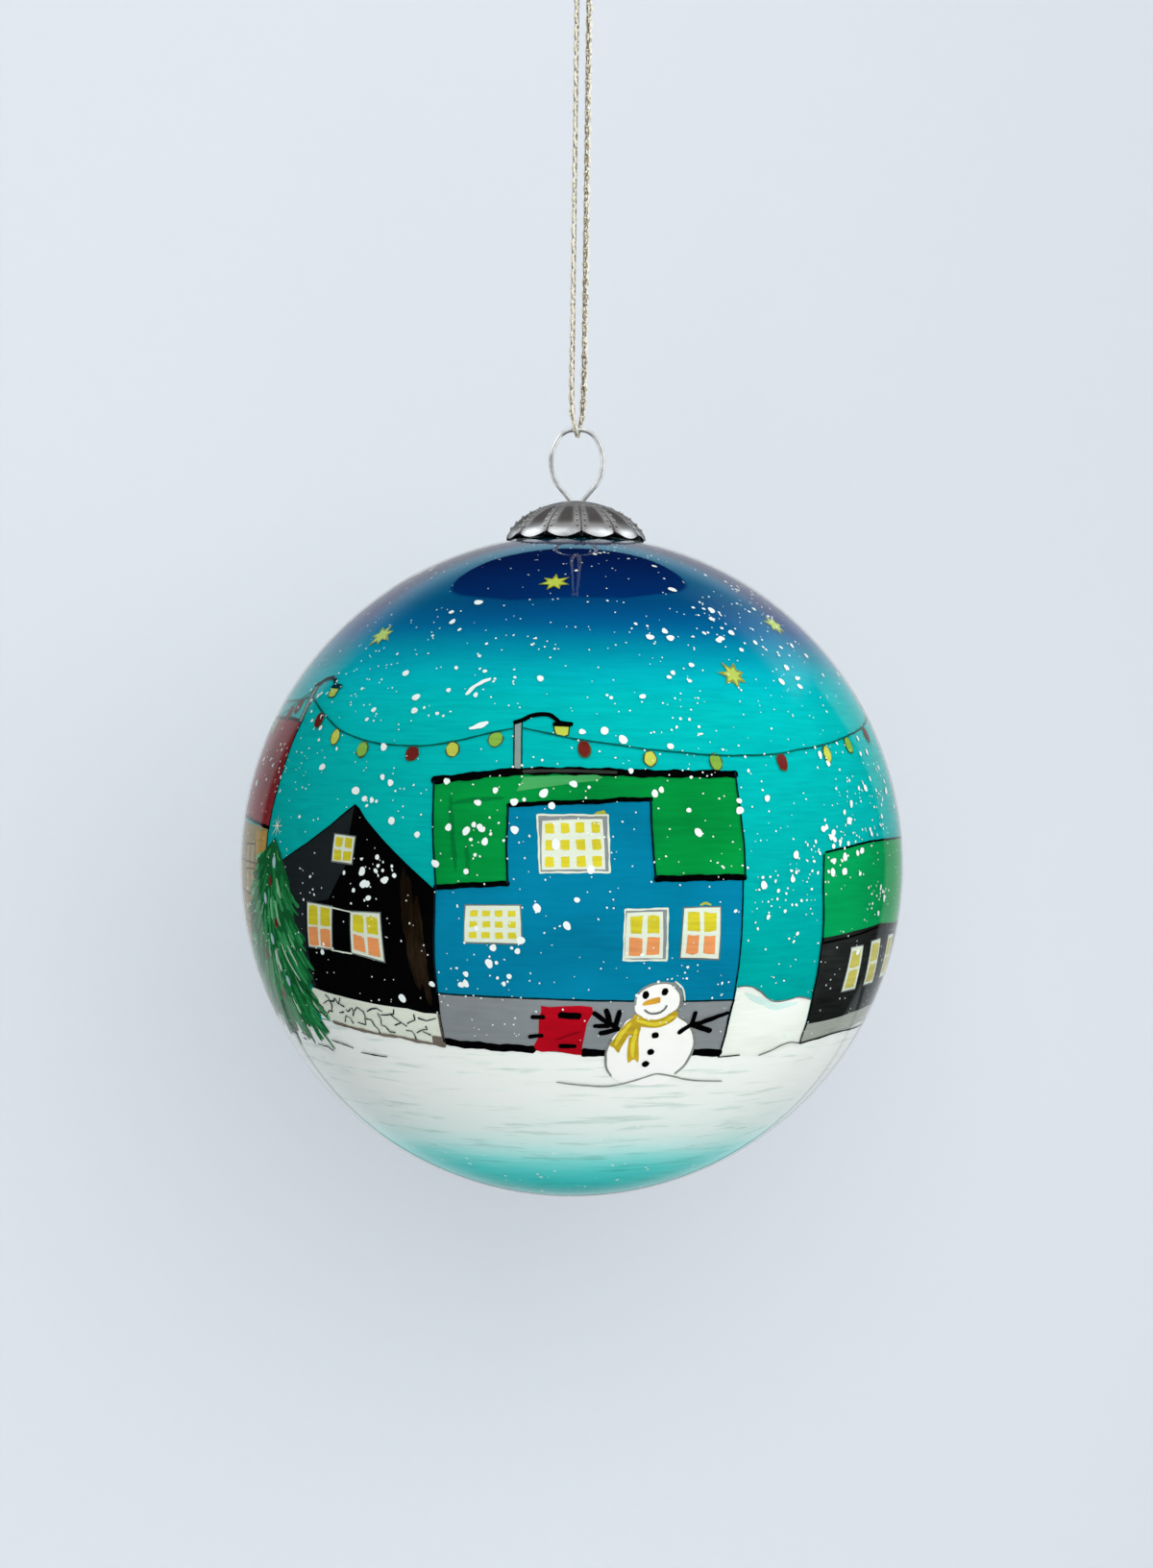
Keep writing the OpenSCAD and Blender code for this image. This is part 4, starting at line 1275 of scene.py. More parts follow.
def make_green_house():
    left = [(45.6, -10.5), (46.1, -15.5), (46.4, -19.2), (47.4, -24.6)]
    house = Painting("green_house", (68, -18), seed=41)
    house.shape([(45.6, -9.6), (54.7, -8.8), (64.9, -8.0), (80, -8.4), (92, -8.8), (91, -23.3), (72.0, -23.2),
                 (63.2, -23.6), (54.3, -24.3)] + left[::-1], paint("charcoal", (33, 36, 34), 0.35), FRONTS)
    house.shape([(47.4, -24.5), (54.3, -24.1), (63.2, -23.4), (72.0, -23.0), (91, -23.1), (91, -26.3),
                 (72.6, -26.3), (63.5, -26.9), (52.8, -27.6), (47.9, -28.1), (47.4, -26.2)],
                paint("pale_grey", (172, 178, 166), 0.06), ROOFS)
    house.line([(47.8, -28.2), (52.8, -27.7), (63.5, -27.0), (91, -26.4)], 0.24, BLACK, MARKS)
    house.line(left + [(47.4, -26.2), (47.8, -28.1)], 0.2, BLACK, MARKS)
    house.done()
    roof = Painting("green_house_roof", (68, -2), seed=42)
    top = [(44.9, 3.9), (45.4, 4.3), (52.6, 5.1), (60.9, 5.8), (78, 5.9), (92, 5.5)]
    eaves = [(45.8, -10.4), (50.0, -10.1), (56.6, -9.4), (66.2, -8.5), (80, -9.0), (92, -9.4)]
    roof.shape(top + eaves[::-1] + [(44.7, -1.4)], paint("sea_green", (4, 158, 86), 0.08), ROOFS)
    roof.line(top[1:], 0.24, BLACK, MARKS)
    roof.line(eaves, 0.24, BLACK, MARKS)
    roof.line([top[0], (44.7, -1.4), eaves[0]], 0.2, BLACK, MARKS)
    roof.done()


def make_cottage(node, lon, half, eaves, ridge, wall_colour, roof_colour, seed):
    """A cottage on the globe's far side: wall, roof, white door, and its two windows."""
    home = Painting(node, (lon, (eaves - 26) / 2), seed)
    home.shape([(lon - half, -27), (lon - half, eaves), (lon + half, eaves), (lon + half, -27), (lon, -27.6)],
               wall_colour, FRONTS)
    home.shape([(lon - half - 1, eaves), (lon - half + 3, ridge), (lon, ridge + 0.5), (lon + half - 3, ridge),
                (lon + half + 1, eaves), (lon, eaves - 0.4)], roof_colour, OBJECTS)
    home.line([(lon - half - 1, eaves), (lon, eaves - 0.3), (lon + half + 1, eaves)], 0.6, BLACK, TRIM)
    home.line([(lon - half + 2.6, ridge), (lon, ridge + 0.5), (lon + half - 2.6, ridge)], 0.7, BLACK, TRIM)
    for side in (-1, 1):
        home.line([(lon + side * half, eaves), (lon + side * half, -27)], 0.22, BLACK, TRIM)
        home.line([(lon + side * (half + 1), eaves), (lon + side * (half - 3), ridge)], 0.22, BLACK, TRIM)
        home.line([(lon + side * 1.8, -26), (lon + side * 1.8, -18.5)], 0.16, BLACK, DETAIL)
    home.shape([(lon - 2.6, -27), (lon - 2.5, -17.5), (lon + 2.5, -17.3), (lon + 2.6, -27)], WHITE, TRIM)
    home.line([(lon - half, -26.8), (lon, -27.2), (lon + half, -26.8)], 0.6, BLACK, DETAIL)
    home.done()
    middle = (eaves - 10) / 2
    for side in (-1, 1):
        x = lon + side * half * 0.6
        corners = [(x - 3, middle + 3), (x + 3, middle + 3), (x + 3, middle - 4), (x - 3, middle - 4)]
        WINDOWS.append(Window(corners, 2, 2, orange_below, 0.5, 0.4, seed=seed + side))


# ---- drift, trees, snowman ----

def make_drift():
    drift = Painting("snow_drift", (40, -24), seed=61)
    top = [(28.8, -17.1), (30.4, -17.0), (32.1, -17.3), (33.9, -18.2), (35.5, -19.3), (37.4, -19.9),
           (40.2, -19.8), (43.0, -19.4), (46.4, -20.1)]
    drift.shape(top + [(47.2, -24.5), (47.6, -28.2), (41.0, -29.6), (29.0, -29.8), (28.7, -26.6),
                       (28.7, -21.0)],
                paint("drift", (246, 252, 240), 0.05), BEHIND)
    shade = paint("drift_shade", (212, 240, 230), 0.06)
    drift.line([(30.5, -18.2), (34.0, -19.7), (38.0, -20.9),
                (43.0, -20.5)], 0.8, shade, ROOFS, wobble=0.2, taper=0.9)
    drift.line(top, 0.14, PEN_GREY, MARKS, wobble=0.3)
    drift.line([(37.8, -29.8), (40.7, -29.0), (43.0, -28.1), (45.3, -27.8),
                (48.4, -28.3)], 0.16, PEN_GREY, MARKS)
    drift.line([(28.5, -29.7), (33.0, -29.5)], 0.16, BLACK, MARKS)
    drift.done()


def cone(lon, top, foot, half):
    """The outline of a fir tree that stands straight."""
    steps = (0.2, 0.4, 0.6, 0.8, 1.0)
    right = [(lon + half * t ** 0.8, top + (foot - top) * t) for t in steps]
    left = [(lon - half * t ** 0.8, top + (foot - top) * t) for t in steps]
    return [(lon, top)] + right + [(lon, foot - 1.5)] + left[::-1]


NEAR_TREE = [(-58.5, 5.1), (-56.2, 2.7), (-53.2, -1.8), (-52.4, -7.2), (-51.6, -14.5), (-51.4, -19.9),
             (-52.6, -23.6), (-54.0, -26.2), (-58.0, -26.6), (-63.0, -26.0), (-72.0, -25.0),
             (-80.0, -23.5), (-77.0, -16.0), (-73.0, -9.5), (-68.1, -4.1), (-66.7, 0.2), (-63.8, 2.1)]
TREES_AT = [(NEAR_TREE, (-58.5, 5.1), (-64.0, -26.0), 1), (cone(-116, 3, -25, 9), (-116, 3), (-116, -25), 2),
            (cone(140, -4, -26, 6), (140, -4), (140, -26), 3)]


def make_trees():
    trees = Painting("fir_trees", seed=71)
    greens = [paint("fir_dark", (22, 100, 52), 0.14), paint("fir", (34, 134, 72), 0.14),
              paint("fir_light", (58, 158, 92), 0.14), paint("fir_pale", (132, 196, 150), 0.1)]
    frost, oval = paint("frost", (206, 226, 208), 0.05), paint("frosted_blue", (176, 208, 214), 0.05)
    red = paint("bauble_red", (108, 44, 38), 0.15)
    rng = random.Random(9)
    for outline, top, foot, seed in TREES_AT:
        trees.move_to(middle_of(outline))
        edge = [trees.flat(p) for p in outline]
        tip, base = trees.flat(top), trees.flat(foot)
        axis = (base - tip).normalized()
        side = Vector((-axis.y, axis.x))
        trees.film(edge, greens[0], TREES)
        corners = np.array([tuple(p) for p in edge])
        low, high = corners.min(0), corners.max(0)
        wanted = int(0.9 * (high[0] - low[0]) * (high[1] - low[1]))
        roots = np.array([(rng.uniform(low[0], high[0]), rng.uniform(low[1], high[1]))
                          for _ in range(3 * wanted)])
        roots = roots[inside(roots, corners)][:wanted]
        for k, root in enumerate(sorted(roots, key=lambda p: p[1])):
            root = Vector(root)
            down = (root - tip).dot(axis)
            across = (root - tip).dot(side) / max(1.0, down)
            reach = (1.1 + 0.08 * down) * rng.uniform(0.7, 1.6)
            end = root + (axis + side * across * 2.4).normalized() * reach
            bend = (root + end) / 2 + side * rng.uniform(-0.2, 0.2)
            shade = rng.choices([greens[0], greens[1], greens[2], greens[3], frost], (3, 7, 4, 0.8, 0.12))[0]
            trees.flat_line([root - axis * 0.3, bend, end], rng.uniform(0.3, 0.62), shade,
                            OBJECTS if k % 2 else TRIM, wobble=0.2, taper=0.7)
        trees.flat_line([base - axis, base + axis * 1.4], 1.0, paint("trunk", (96, 84, 70), 0.2), TREES)
        tall = (base - tip).length
        for k in range(8):
            place = (tip + axis * tall * (0.12 + 0.105 * k)
                     + side * 0.17 * tall * (0.2 + 0.1 * k) * math.sin(2.1 * k + seed))
            if k % 2:
                trees.flat_blob(place, 0.44, 0.62, red, DETAIL)
            else:
                trees.flat_blob(place, 0.4, 0.68, oval, DETAIL)
        star(trees, tip - axis * 1.3, 1.4, 0.2, FRAME_WHITE, DETAIL)
    trees.move_to((-56, -15))
    for stroke in ([(-52.9, -19.9), (-51.5, -21.2), (-49.2, -22.9)], [(-51.8, -23.4), (-49.8, -24.1)]):
        trees.line(stroke, 0.14, BLACK, MARKS)
    for stroke in ([(-55.8, -12.5), (-53.6, -15.6)], [(-58.0, -12.2), (-56.4, -15.4), (-54.0, -18.4)]):
        trees.line(stroke, 0.22, frost, MARKS, taper=0.6)
    trees.done()


def star(painting, middle, long, short, material, level, rays=8, turn=0.0):
    points = []
    for k in range(2 * rays):
        a = turn + math.pi * k / rays
        reach = (long if k % 2 == 0 else short) * painting.random.uniform(0.82, 1.12)
        points.append(middle + Vector((math.sin(a), math.cos(a))) * reach)
    painting.film(points, material, level)


def make_snowman():
    man = Painting("snowman", (15, -25), seed=81)
    grey = paint("snowman_line", (140, 146, 138), 0.15)
    body = [(10.7, -22.1), (8.9, -23.9), (7.3, -26.0), (6.6, -28.5), (6.8, -30.8), (7.9, -32.9),
            (10.4, -34.4), (14.9, -35.1), (18.7, -34.6), (20.5, -32.6), (22.0, -30.5), (22.6, -27.4),
            (22.2, -25.2), (20.5, -23.0), (18.4, -21.8)]
    head = [(10.8, -19.8), (11.1, -18.1), (12.7, -16.7), (14.9, -16.1), (16.9, -16.3), (18.3, -17.6),
            (18.8, -19.4), (18.3, -20.9), (16.9, -21.8), (14.8, -22.2), (12.8, -22.0), (11.2, -21.2)]
    man.shape(body, WHITE, OBJECTS, rounded=True)
    man.shape(head, WHITE, OBJECTS, rounded=True)
    man.line([(7.3, -26.0), (6.6, -28.0), (6.6, -29.6), (6.9, -31.4), (7.9, -32.9)], 0.24, grey, TRIM)
    man.line([(18.7, -21.9), (20.5, -23.0), (22.0, -24.9), (22.7, -27.1), (22.4, -29.6), (21.7, -31.3),
              (20.4, -32.6)],
             0.3, grey, TRIM)
    man.line(head[:5], 0.26, grey, TRIM)
    man.line(head[4:9], 0.42, grey, TRIM)
    man.line([(17.3, -15.9), (18.8, -17.2), (19.4, -19.2)], 0.2, FRAME_WHITE, TRIM, taper=0.5)
    man.blob((12.5, -18.1), 0.38, 0.46, BLACK, MARKS)
    man.blob((15.7, -17.6), 0.38, 0.46, BLACK, MARKS)
    man.shape([(12.1, -19.7), (12.7, -19.1), (14.8, -18.5), (15.1, -19.2), (14.8, -19.5), (12.5, -19.9)],
              paint("carrot", (222, 168, 56), 0.1), MARKS, rounded=True)
    man.line([(12.6, -20.7), (13.7, -21.3), (15.1, -21.2), (16.0, -20.6),
              (16.3, -20.0)], 0.22, PEN_GREY, MARKS)
    for place in ((15.0, -25.2), (14.7, -28.3), (14.1, -30.6)):
        man.blob(place, 0.42, 0.4, BLACK, MARKS)
    man.line([(-2.3, -34.3), (1.9, -34.8), (6.5, -35.1), (9.9, -34.7), (12.9, -33.8), (15.9, -32.8),
              (17.3, -32.7), (20.1, -33.2), (23.8, -34.1), (31.3, -34.7)], 0.22, grey, MARKS, taper=0.3)
    man.done()

    scarf = Painting("snowman_scarf", (14, -24), seed=82)
    mustard, gold = paint("mustard", (202, 172, 44), 0.14), paint("gold", (232, 214, 60), 0.08)
    scarf.shape([(10.7, -21.8), (11.4, -21.5), (12.8, -22.2), (14.4, -22.4), (15.6, -22.2), (16.8, -21.6),
                 (18.0, -20.9), (18.5, -21.6), (17.8, -22.7), (15.8, -23.7), (13.8, -23.8),
                 (11.4, -23.3)], mustard,
                DETAIL, rounded=True)
    scarf.shape([(10.7, -22.1), (8.9, -23.9), (7.8, -25.8), (7.1, -26.9), (7.9, -27.5), (8.8, -28.4),
                 (9.2, -27.4), (10.3, -25.2), (11.4, -23.1)], mustard, DETAIL, rounded=True)
    scarf.shape([(10.8, -23.5), (12.2, -23.5), (12.1, -25.8), (12.7, -30.0), (11.9, -29.7), (11.5, -29.8),
                 (10.8, -30.3), (10.4, -28.5), (10.4, -25.8)], mustard, DETAIL, rounded=True)
    for line in ([(11.3, -22.4), (13.6, -23.1), (15.7, -23.0), (17.8, -21.9)],
                 [(10.4, -23.0), (8.9, -25.0), (8.1, -26.9)], [(11.5, -24.0), (11.2, -26.8), (11.5, -29.2)]):
        scarf.line(line, 0.45, gold, MARKS, taper=0.5)
    scarf.done()

    arms = Painting("snowman_arms", (14, -23), seed=83)
    for finger in ([(4.1, -21.2), (6.5, -22.9)], [(6.1, -20.7), (6.8, -22.9)], [(8.4, -20.9), (7.8, -23.4)],
                   [(4.3, -23.5), (6.6, -23.5)], [(5.3, -24.8), (8.3, -24.1)], [(6.2, -22.7), (8.3, -24.0)]):
        arms.line(finger, 0.58, BLACK, DETAIL, taper=0.1, bent=False)
    arms.line([(19.3, -24.8), (21.3, -23.4), (22.9, -23.1), (27.8, -21.5)], 0.56, BLACK, MARKS, taper=0.1)
    arms.line([(21.7, -21.3), (21.3, -23.3)], 0.5, BLACK, MARKS)
    arms.line([(21.6, -23.6), (23.5, -24.1), (25.2, -24.6)], 0.62, BLACK, MARKS, taper=0.1)
    arms.done()


# ---- lamps, lights and stars ----

# Lamps: (longitude, latitude of the pole's top, latitude of its foot).
LAMPS = [(-61.0, 31.7, 25.4), (-9.6, 25.0, 17.2), (97, 31, 5.8), (141, 25, -3), (-168, 25, 18), (-112, 27, 3)]
# A lamp's arm, cap and light in mm, right and up from its pole's top.
LAMP_ARM = [(-0.35, 0.1), (0.5, 0.4), (1.4, 0.9), (2.5, 1.15), (3.4, 1.1), (4.1, 0.6), (4.6, 0.2),
            (5.8, 0.15)]
LAMP_CAP = [(3.8, 0.2), (4.5, 0.4), (5.8, 0.35), (5.95, 0.0), (5.65, -0.2), (3.8, -0.2)]
LAMP_LIGHT = [(3.85, -0.15), (5.7, -0.1), (5.65, -1.2), (5.2, -1.42), (4.3, -1.42), (3.95, -0.75)]


def make_lamps():
    lamps = Painting("street_lamps", seed=91)
    steel, glow = paint("lamp_steel", (134, 156, 150), 0.06), paint("lamp_glow", (196, 210, 78), 0.08)
    edge = paint("lamp_edge", (40, 84, 52), 0.1)
    pole_r = 0.42
    for lon, top, foot in LAMPS:
        lamps.move_to((lon, top))
        bottom = lamps.flat((lon + 0.6, foot))
        lamps.flat_line([Vector((0, 0.1)), bottom], 2 * pole_r, steel, OBJECTS, wobble=0.04)
        for side in (-pole_r, pole_r):
            lamps.flat_line([Vector((side, 0.1)), bottom + Vector((side, 0))], 0.14, BLACK, TRIM)
        lamps.flat_line([Vector(p) for p in LAMP_ARM], 0.52, BLACK, MARKS, wobble=0.06)
        lamps.film([Vector(p) for p in LAMP_CAP], BLACK, MARKS)
        middle = Vector((4.85, -0.7))
        lamps.film([Vector(p) for p in LAMP_LIGHT], edge, TRIM)
        lamps.film([middle + (Vector(p) - middle) * 0.82 for p in LAMP_LIGHT], glow, DETAIL)
    lamps.done()


BULBS = {"red": paint("bulb_red", (112, 36, 32), 0.12), "yellow": paint("bulb_yellow", (198, 208, 84), 0.1),
         "green": paint("bulb_green", (136, 184, 72), 0.1)}
BULB_EDGE = paint("bulb_edge", (70, 92, 58), 0.1)
SPANS = [([(-78.1, 28.7), (-68.1, 29.0), (-61.2, 29.5)], [(-64.8, 27.9, "red")]),
         ([(-59.4, 29.3), (-54.9, 27.4), (-50.3, 25.4), (-45.9, 23.5), (-42.2, 22.5), (-38.4, 21.7),
           (-34.7, 21.1), (-28.1, 20.9), (-23.7, 21.2), (-18.8, 22.1), (-14.1, 23.3), (-10.3, 24.1)],
          [(-53.3, 25.3, "red"), (-46.4, 22.3, "yellow"), (-38.7, 20.2, "green"), (-28.0, 19.6, "red"),
           (-20.6, 20.4, "yellow"), (-13.2, 22.2, "green")]),
         ([(-8.8, 24.2), (-3.6, 23.2), (1.8, 22.2), (12.5, 20.8), (24.2, 20.0), (35.3, 20.2), (42.5, 21.1),
           (46.8, 21.6), (53.6, 22.6), (60.8, 23.9), (68.5, 25.2), (80, 27.4), (96, 30.4)],
          [(1.8, 20.8, "red"), (12.8, 19.3, "yellow"), (24.4, 18.9, "green"), (37.9, 19.0, "red"),
           (50.1, 20.4, "yellow"), (58.5, 22.0, "green"), (70.0, 24.0, "red"), (84, 26.4, "yellow")])]


def far_span(a, b, sag=5.0):
    """A string of lights between two lamps on the far side, hanging by sag degrees."""
    end = b[0] if b[0] > a[0] else b[0] + 360

    def place(t):
        return a[0] + (end - a[0]) * t, a[1] + (b[1] - a[1]) * t - 4 * sag * t * (1 - t) - 0.6
    line = [place(k / 12) for k in range(13)]
    bulbs = []
    for k in range(1, 7):
        lon, lat = place(k / 7)
        bulbs.append((lon, lat - 1.5, ("red", "yellow", "green")[k % 3]))
    return line, bulbs


def make_lights():
    string, bulbs = Painting("light_string", seed=101), Painting("light_bulbs", seed=102)
    cable = paint("cable", (8, 92, 82), 0.2)
    spans = SPANS + [far_span(LAMPS[i], LAMPS[(i + 1) % len(LAMPS)]) for i in range(2, 6)]
    for line, lights in spans:
        for start in range(0, len(line) - 1, 3):
            part = line[start:start + 4]
            string.move_to(middle_of(part))
            string.line(part, 0.2, cable, MARKS, wobble=0.15)
        for lon, lat, colour in lights:
            bulbs.move_to((lon, lat))
            rx, ry = bulbs.random.uniform(0.62, 0.8), bulbs.random.uniform(0.8, 0.96)
            lean = bulbs.random.uniform(-16, 16)
            bulbs.flat_blob(Vector((0, 0)), rx + 0.12, ry + 0.14, BULB_EDGE, DETAIL, lean=lean)
            bulbs.flat_blob(Vector((0, 0)), rx, ry, BULBS[colour], MARKS, lean=lean)
    string.done()
    bulbs.done()


STARS = [(-6.0, 55.7), (-48.1, 42.2), (32.6, 34.5), (56.8, 46.1), (110, 40), (165, 52), (-125, 42), (-90, 58)]


def make_stars():
    stars = Painting("stars", seed=111)
    gold, core = paint("star_edge", (152, 156, 52), 0.1), paint("star", (196, 214, 84), 0.08)
    for k, place in enumerate(STARS):
        stars.move_to(place)
        star(stars, Vector((0, 0)), 1.85, 0.95, gold, DETAIL, rays=7, turn=0.2 * k)
        star(stars, Vector((0, 0)), 1.4, 0.7, core, MARKS, rays=7, turn=0.2 * k)
    stars.done()


# ---- snowfall ----

# Groups of big spots: (longitude, latitude, spread in degrees, how many). Set by hand to follow a list of
# spots that a separate script had turned into degrees.
BIG_GROUPS = [(-15, 7, 3, 9), (-2, 13, 3, 5), (-14, -12, 4, 7), (0, -3, 5, 4), (20, 12, 5, 4), (8, 23, 3, 4),
              (-30, 10, 5, 7), (-34, 0, 3, 4), (-28, 28, 6, 6), (50, 6, 4, 9), (27, 45, 5, 8), (48, 40, 6, 6),
              (-32, 50, 3, 3), (56, -10, 2, 1), (-26, -19, 2, 2)]
# Long splashes: (points, thickness in mm). They follow points in tenths of a degree, in whole degrees.
SPLASHES = [([(-20, 30), (-18, 32), (-16, 33)], 0.5), ([(-18, 24), (-15, 25)], 0.6)]


# Thick clusters of smaller spots: (longitude, latitude, spread in degrees, how many).
DENSE = [(56, 11, 3.4, 30), (47, 4, 3.0, 34), (36, -2, 2.4, 34), (40, 2, 2.0, 14), (66, 18, 4.0, 22),
         (24, 44, 5.0, 26), (42, 40, 6.0, 28), (50, 50, 4.0, 16), (-18, 31, 3.0, 14), (-15, 8, 3.0, 14),
         (-34, -1, 2.6, 12), (-30, 40, 6.0, 12), (-5, 14, 3.5, 10), (-16, -13, 3.5, 10),
         (20, 22, 7.0, 22), (-48, 27, 5.0, 12), (-70, 14, 5.0, 22)]


def make_snowfall():
    """Flicked spots of white paint: groups of big ones, then clusters of smaller ones and a fine spray."""
    rng = random.Random(2024)
    flakes = Painting("snowfall", seed=121)
    radius = level_radius(FLAKES)
    white = flakes.slot_of(paint("flake", (244, 255, 250), 0.03))

    def spot(lon, lat, size, sides):
        """One spot: a lumpy oval."""
        flakes.move_to((lon, lat))
        stretch, lean, lump = rng.uniform(1.0, 1.4), rng.uniform(0, math.pi), rng.uniform(0, 0.1)
        phase = rng.uniform(0, 6.28)
        edge = []
        for k in range(sides):
            a = 2 * math.pi * k / sides
            reach = size * (1 + lump * (math.sin(3 * a + phase) + math.sin(2 * a - phase))
                            + rng.uniform(-0.05, 0.05))
            x, y = reach * math.cos(a) * stretch, reach * math.sin(a)
            edge.append(Vector((x * math.cos(lean) - y * math.sin(lean),
                                x * math.sin(lean) + y * math.cos(lean))))
        flakes.press([Vector((0, 0))] + edge, [(0, k, k % sides + 1) for k in range(1, sides + 1)], radius,
                     white)

    for lon, lat, spread, count in BIG_GROUPS:
        wide = spread / math.cos(math.radians(lat))
        for _ in range(count):
            spot(rng.gauss(lon, wide), rng.gauss(lat, spread), rng.uniform(0.28, 0.44), 14)
    for places, thickness in SPLASHES:
        flakes.move_to(places[0])
        flakes.line(places, thickness, flakes.materials[0], FLAKES, wobble=0.3, taper=0.5)
    for lon, lat, spread, count in DENSE:
        for _ in range(count):
            size = min(0.4, max(0.06, rng.lognormvariate(math.log(0.13), 0.55)))
            place_lat = lat + rng.gauss(0, spread)
            spot(lon + rng.gauss(0, 1.4 * spread) / math.cos(math.radians(lat)), place_lat, size, 9)
    lowest = math.sin(math.radians(-27))
    for _ in range(130):
        lon, height = rng.uniform(-180, 180), rng.uniform(lowest, 0.97)
        lat = math.degrees(math.asin(height))
        for _ in range(rng.randint(2, 8)):
            far, a = rng.gauss(0, 3.0), rng.uniform(0, 2 * math.pi)
            here = lat + far * math.sin(a)
            if -27 < here < 80:
                size = min(0.34, max(0.07, rng.lognormvariate(math.log(0.12), 0.5)))
                wide = math.cos(math.radians(min(80, lat)))
                spot(lon + far * math.cos(a) / wide, here, size, 9 if size > 0.18 else 6)
    for _ in range(2300):
        lon, height = rng.uniform(-180, 180), rng.uniform(lowest, 0.985)
        spot(lon, math.degrees(math.asin(height)), rng.uniform(0.045, 0.11), 6)
    for _ in range(260):
        lon, lat = rng.uniform(-180, 180), rng.uniform(-78, -40)
        spot(lon, lat, rng.uniform(0.06, 0.2), 7)
    flakes.done()


make_blue_house()
make_black_house()
make_tall_house()
make_green_house()
make_cottage("yellow_house", 118, 16, 4, 15, paint("ochre", (214, 170, 60), 0.1), RED, seed=51)
make_cottage("red_cottage", 164, 18, -3, 9, RED, BLACK, seed=54)
make_cottage("lilac_house", -143, 14, 6, 18, paint("lilac", (150, 120, 170), 0.1), GREEN, seed=57)
make_windows(WINDOWS)
make_drift()
make_trees()
make_snowman()
make_lamps()
make_lights()
make_stars()
make_snowfall()


# ---- stage: backdrop, floor and soft light ----

def sheet_paper(colour):
    """Plain paper with painted shade, a touch darker to the right where less light falls, clear from behind so
    it never hides the object.
    """
    n = Nodes("backdrop_paper")
    cloud = n.noise((0.8, 0.8, 0.8), detail=2.0)
    paper = n.ramp(cloud, [(0.35, tuple(v * 0.99 for v in colour)), (0.65, colour)])
    where, parts = n.add("ShaderNodeTexCoord"), n.add("ShaderNodeSeparateXYZ")
    n.join(where.outputs["Object"], parts.inputs[0])
    across = n.maths("MULTIPLY_ADD", parts.outputs["X"], 5.0, 0.5)
    # Painted shade: the paper is coloured darker towards the right.
    painted_falloff = n.ramp(across, [(0.0, (255, 255, 255)), (0.5, (254, 254, 254)), (1.0, (246, 246, 246))])
    n.surface(n.mix(1.0, paper, painted_falloff, "MULTIPLY"), roughness=0.95)
    n.shader.inputs["Specular IOR Level"].default_value = 0.0
    side = n.add("ShaderNodeNewGeometry")
    mix = n.add("ShaderNodeMixShader")
    n.join(side.outputs["Backfacing"], mix.inputs[0])
    n.join(n.shader.outputs[0], mix.inputs[1])
    n.join(n.add("ShaderNodeBsdfTransparent").outputs[0], mix.inputs[2])
    n.join(mix.outputs[0], n.out.inputs["Surface"])
    return n.material


def make_stage():
    """A pale seamless sheet: a floor well below the globe that curves up into a wall behind it."""
    back, floor, bend = 0.10, -0.62, 0.25
    profile = [(-3.0, floor), (-1.0, floor)]
    profile += [(back - bend + bend * math.sin(a), floor + bend - bend * math.cos(a))
                for a in (math.pi / 2 * k / 12 for k in range(13))]
    profile += [(back, 0.4), (back, 1.4)]
    vertices = [Vector((x, y, z)) for y, z in profile for x in (-2.2, 2.2)]
    faces = [(2 * i, 2 * i + 1, 2 * i + 3, 2 * i + 2) for i in range(len(profile) - 1)]
    sheet = mesh_object("backdrop", vertices, faces, sheet_paper((228, 233, 239)))
    sheet.visible_glossy = False


def soft_light(name, place, target, size, power):
    lamp = bpy.data.objects.new(name, bpy.data.lights.new(name, "AREA"))
    bpy.context.scene.collection.objects.link(lamp)
    lamp.data.shape = "RECTANGLE"
    lamp.data.size, lamp.data.size_y = size
    lamp.data.energy = power
    lamp.location = place
    lamp.rotation_euler = (Vector(target) - Vector(place)).to_track_quat("-Z", "Y").to_euler()
    lamp.visible_glossy = False


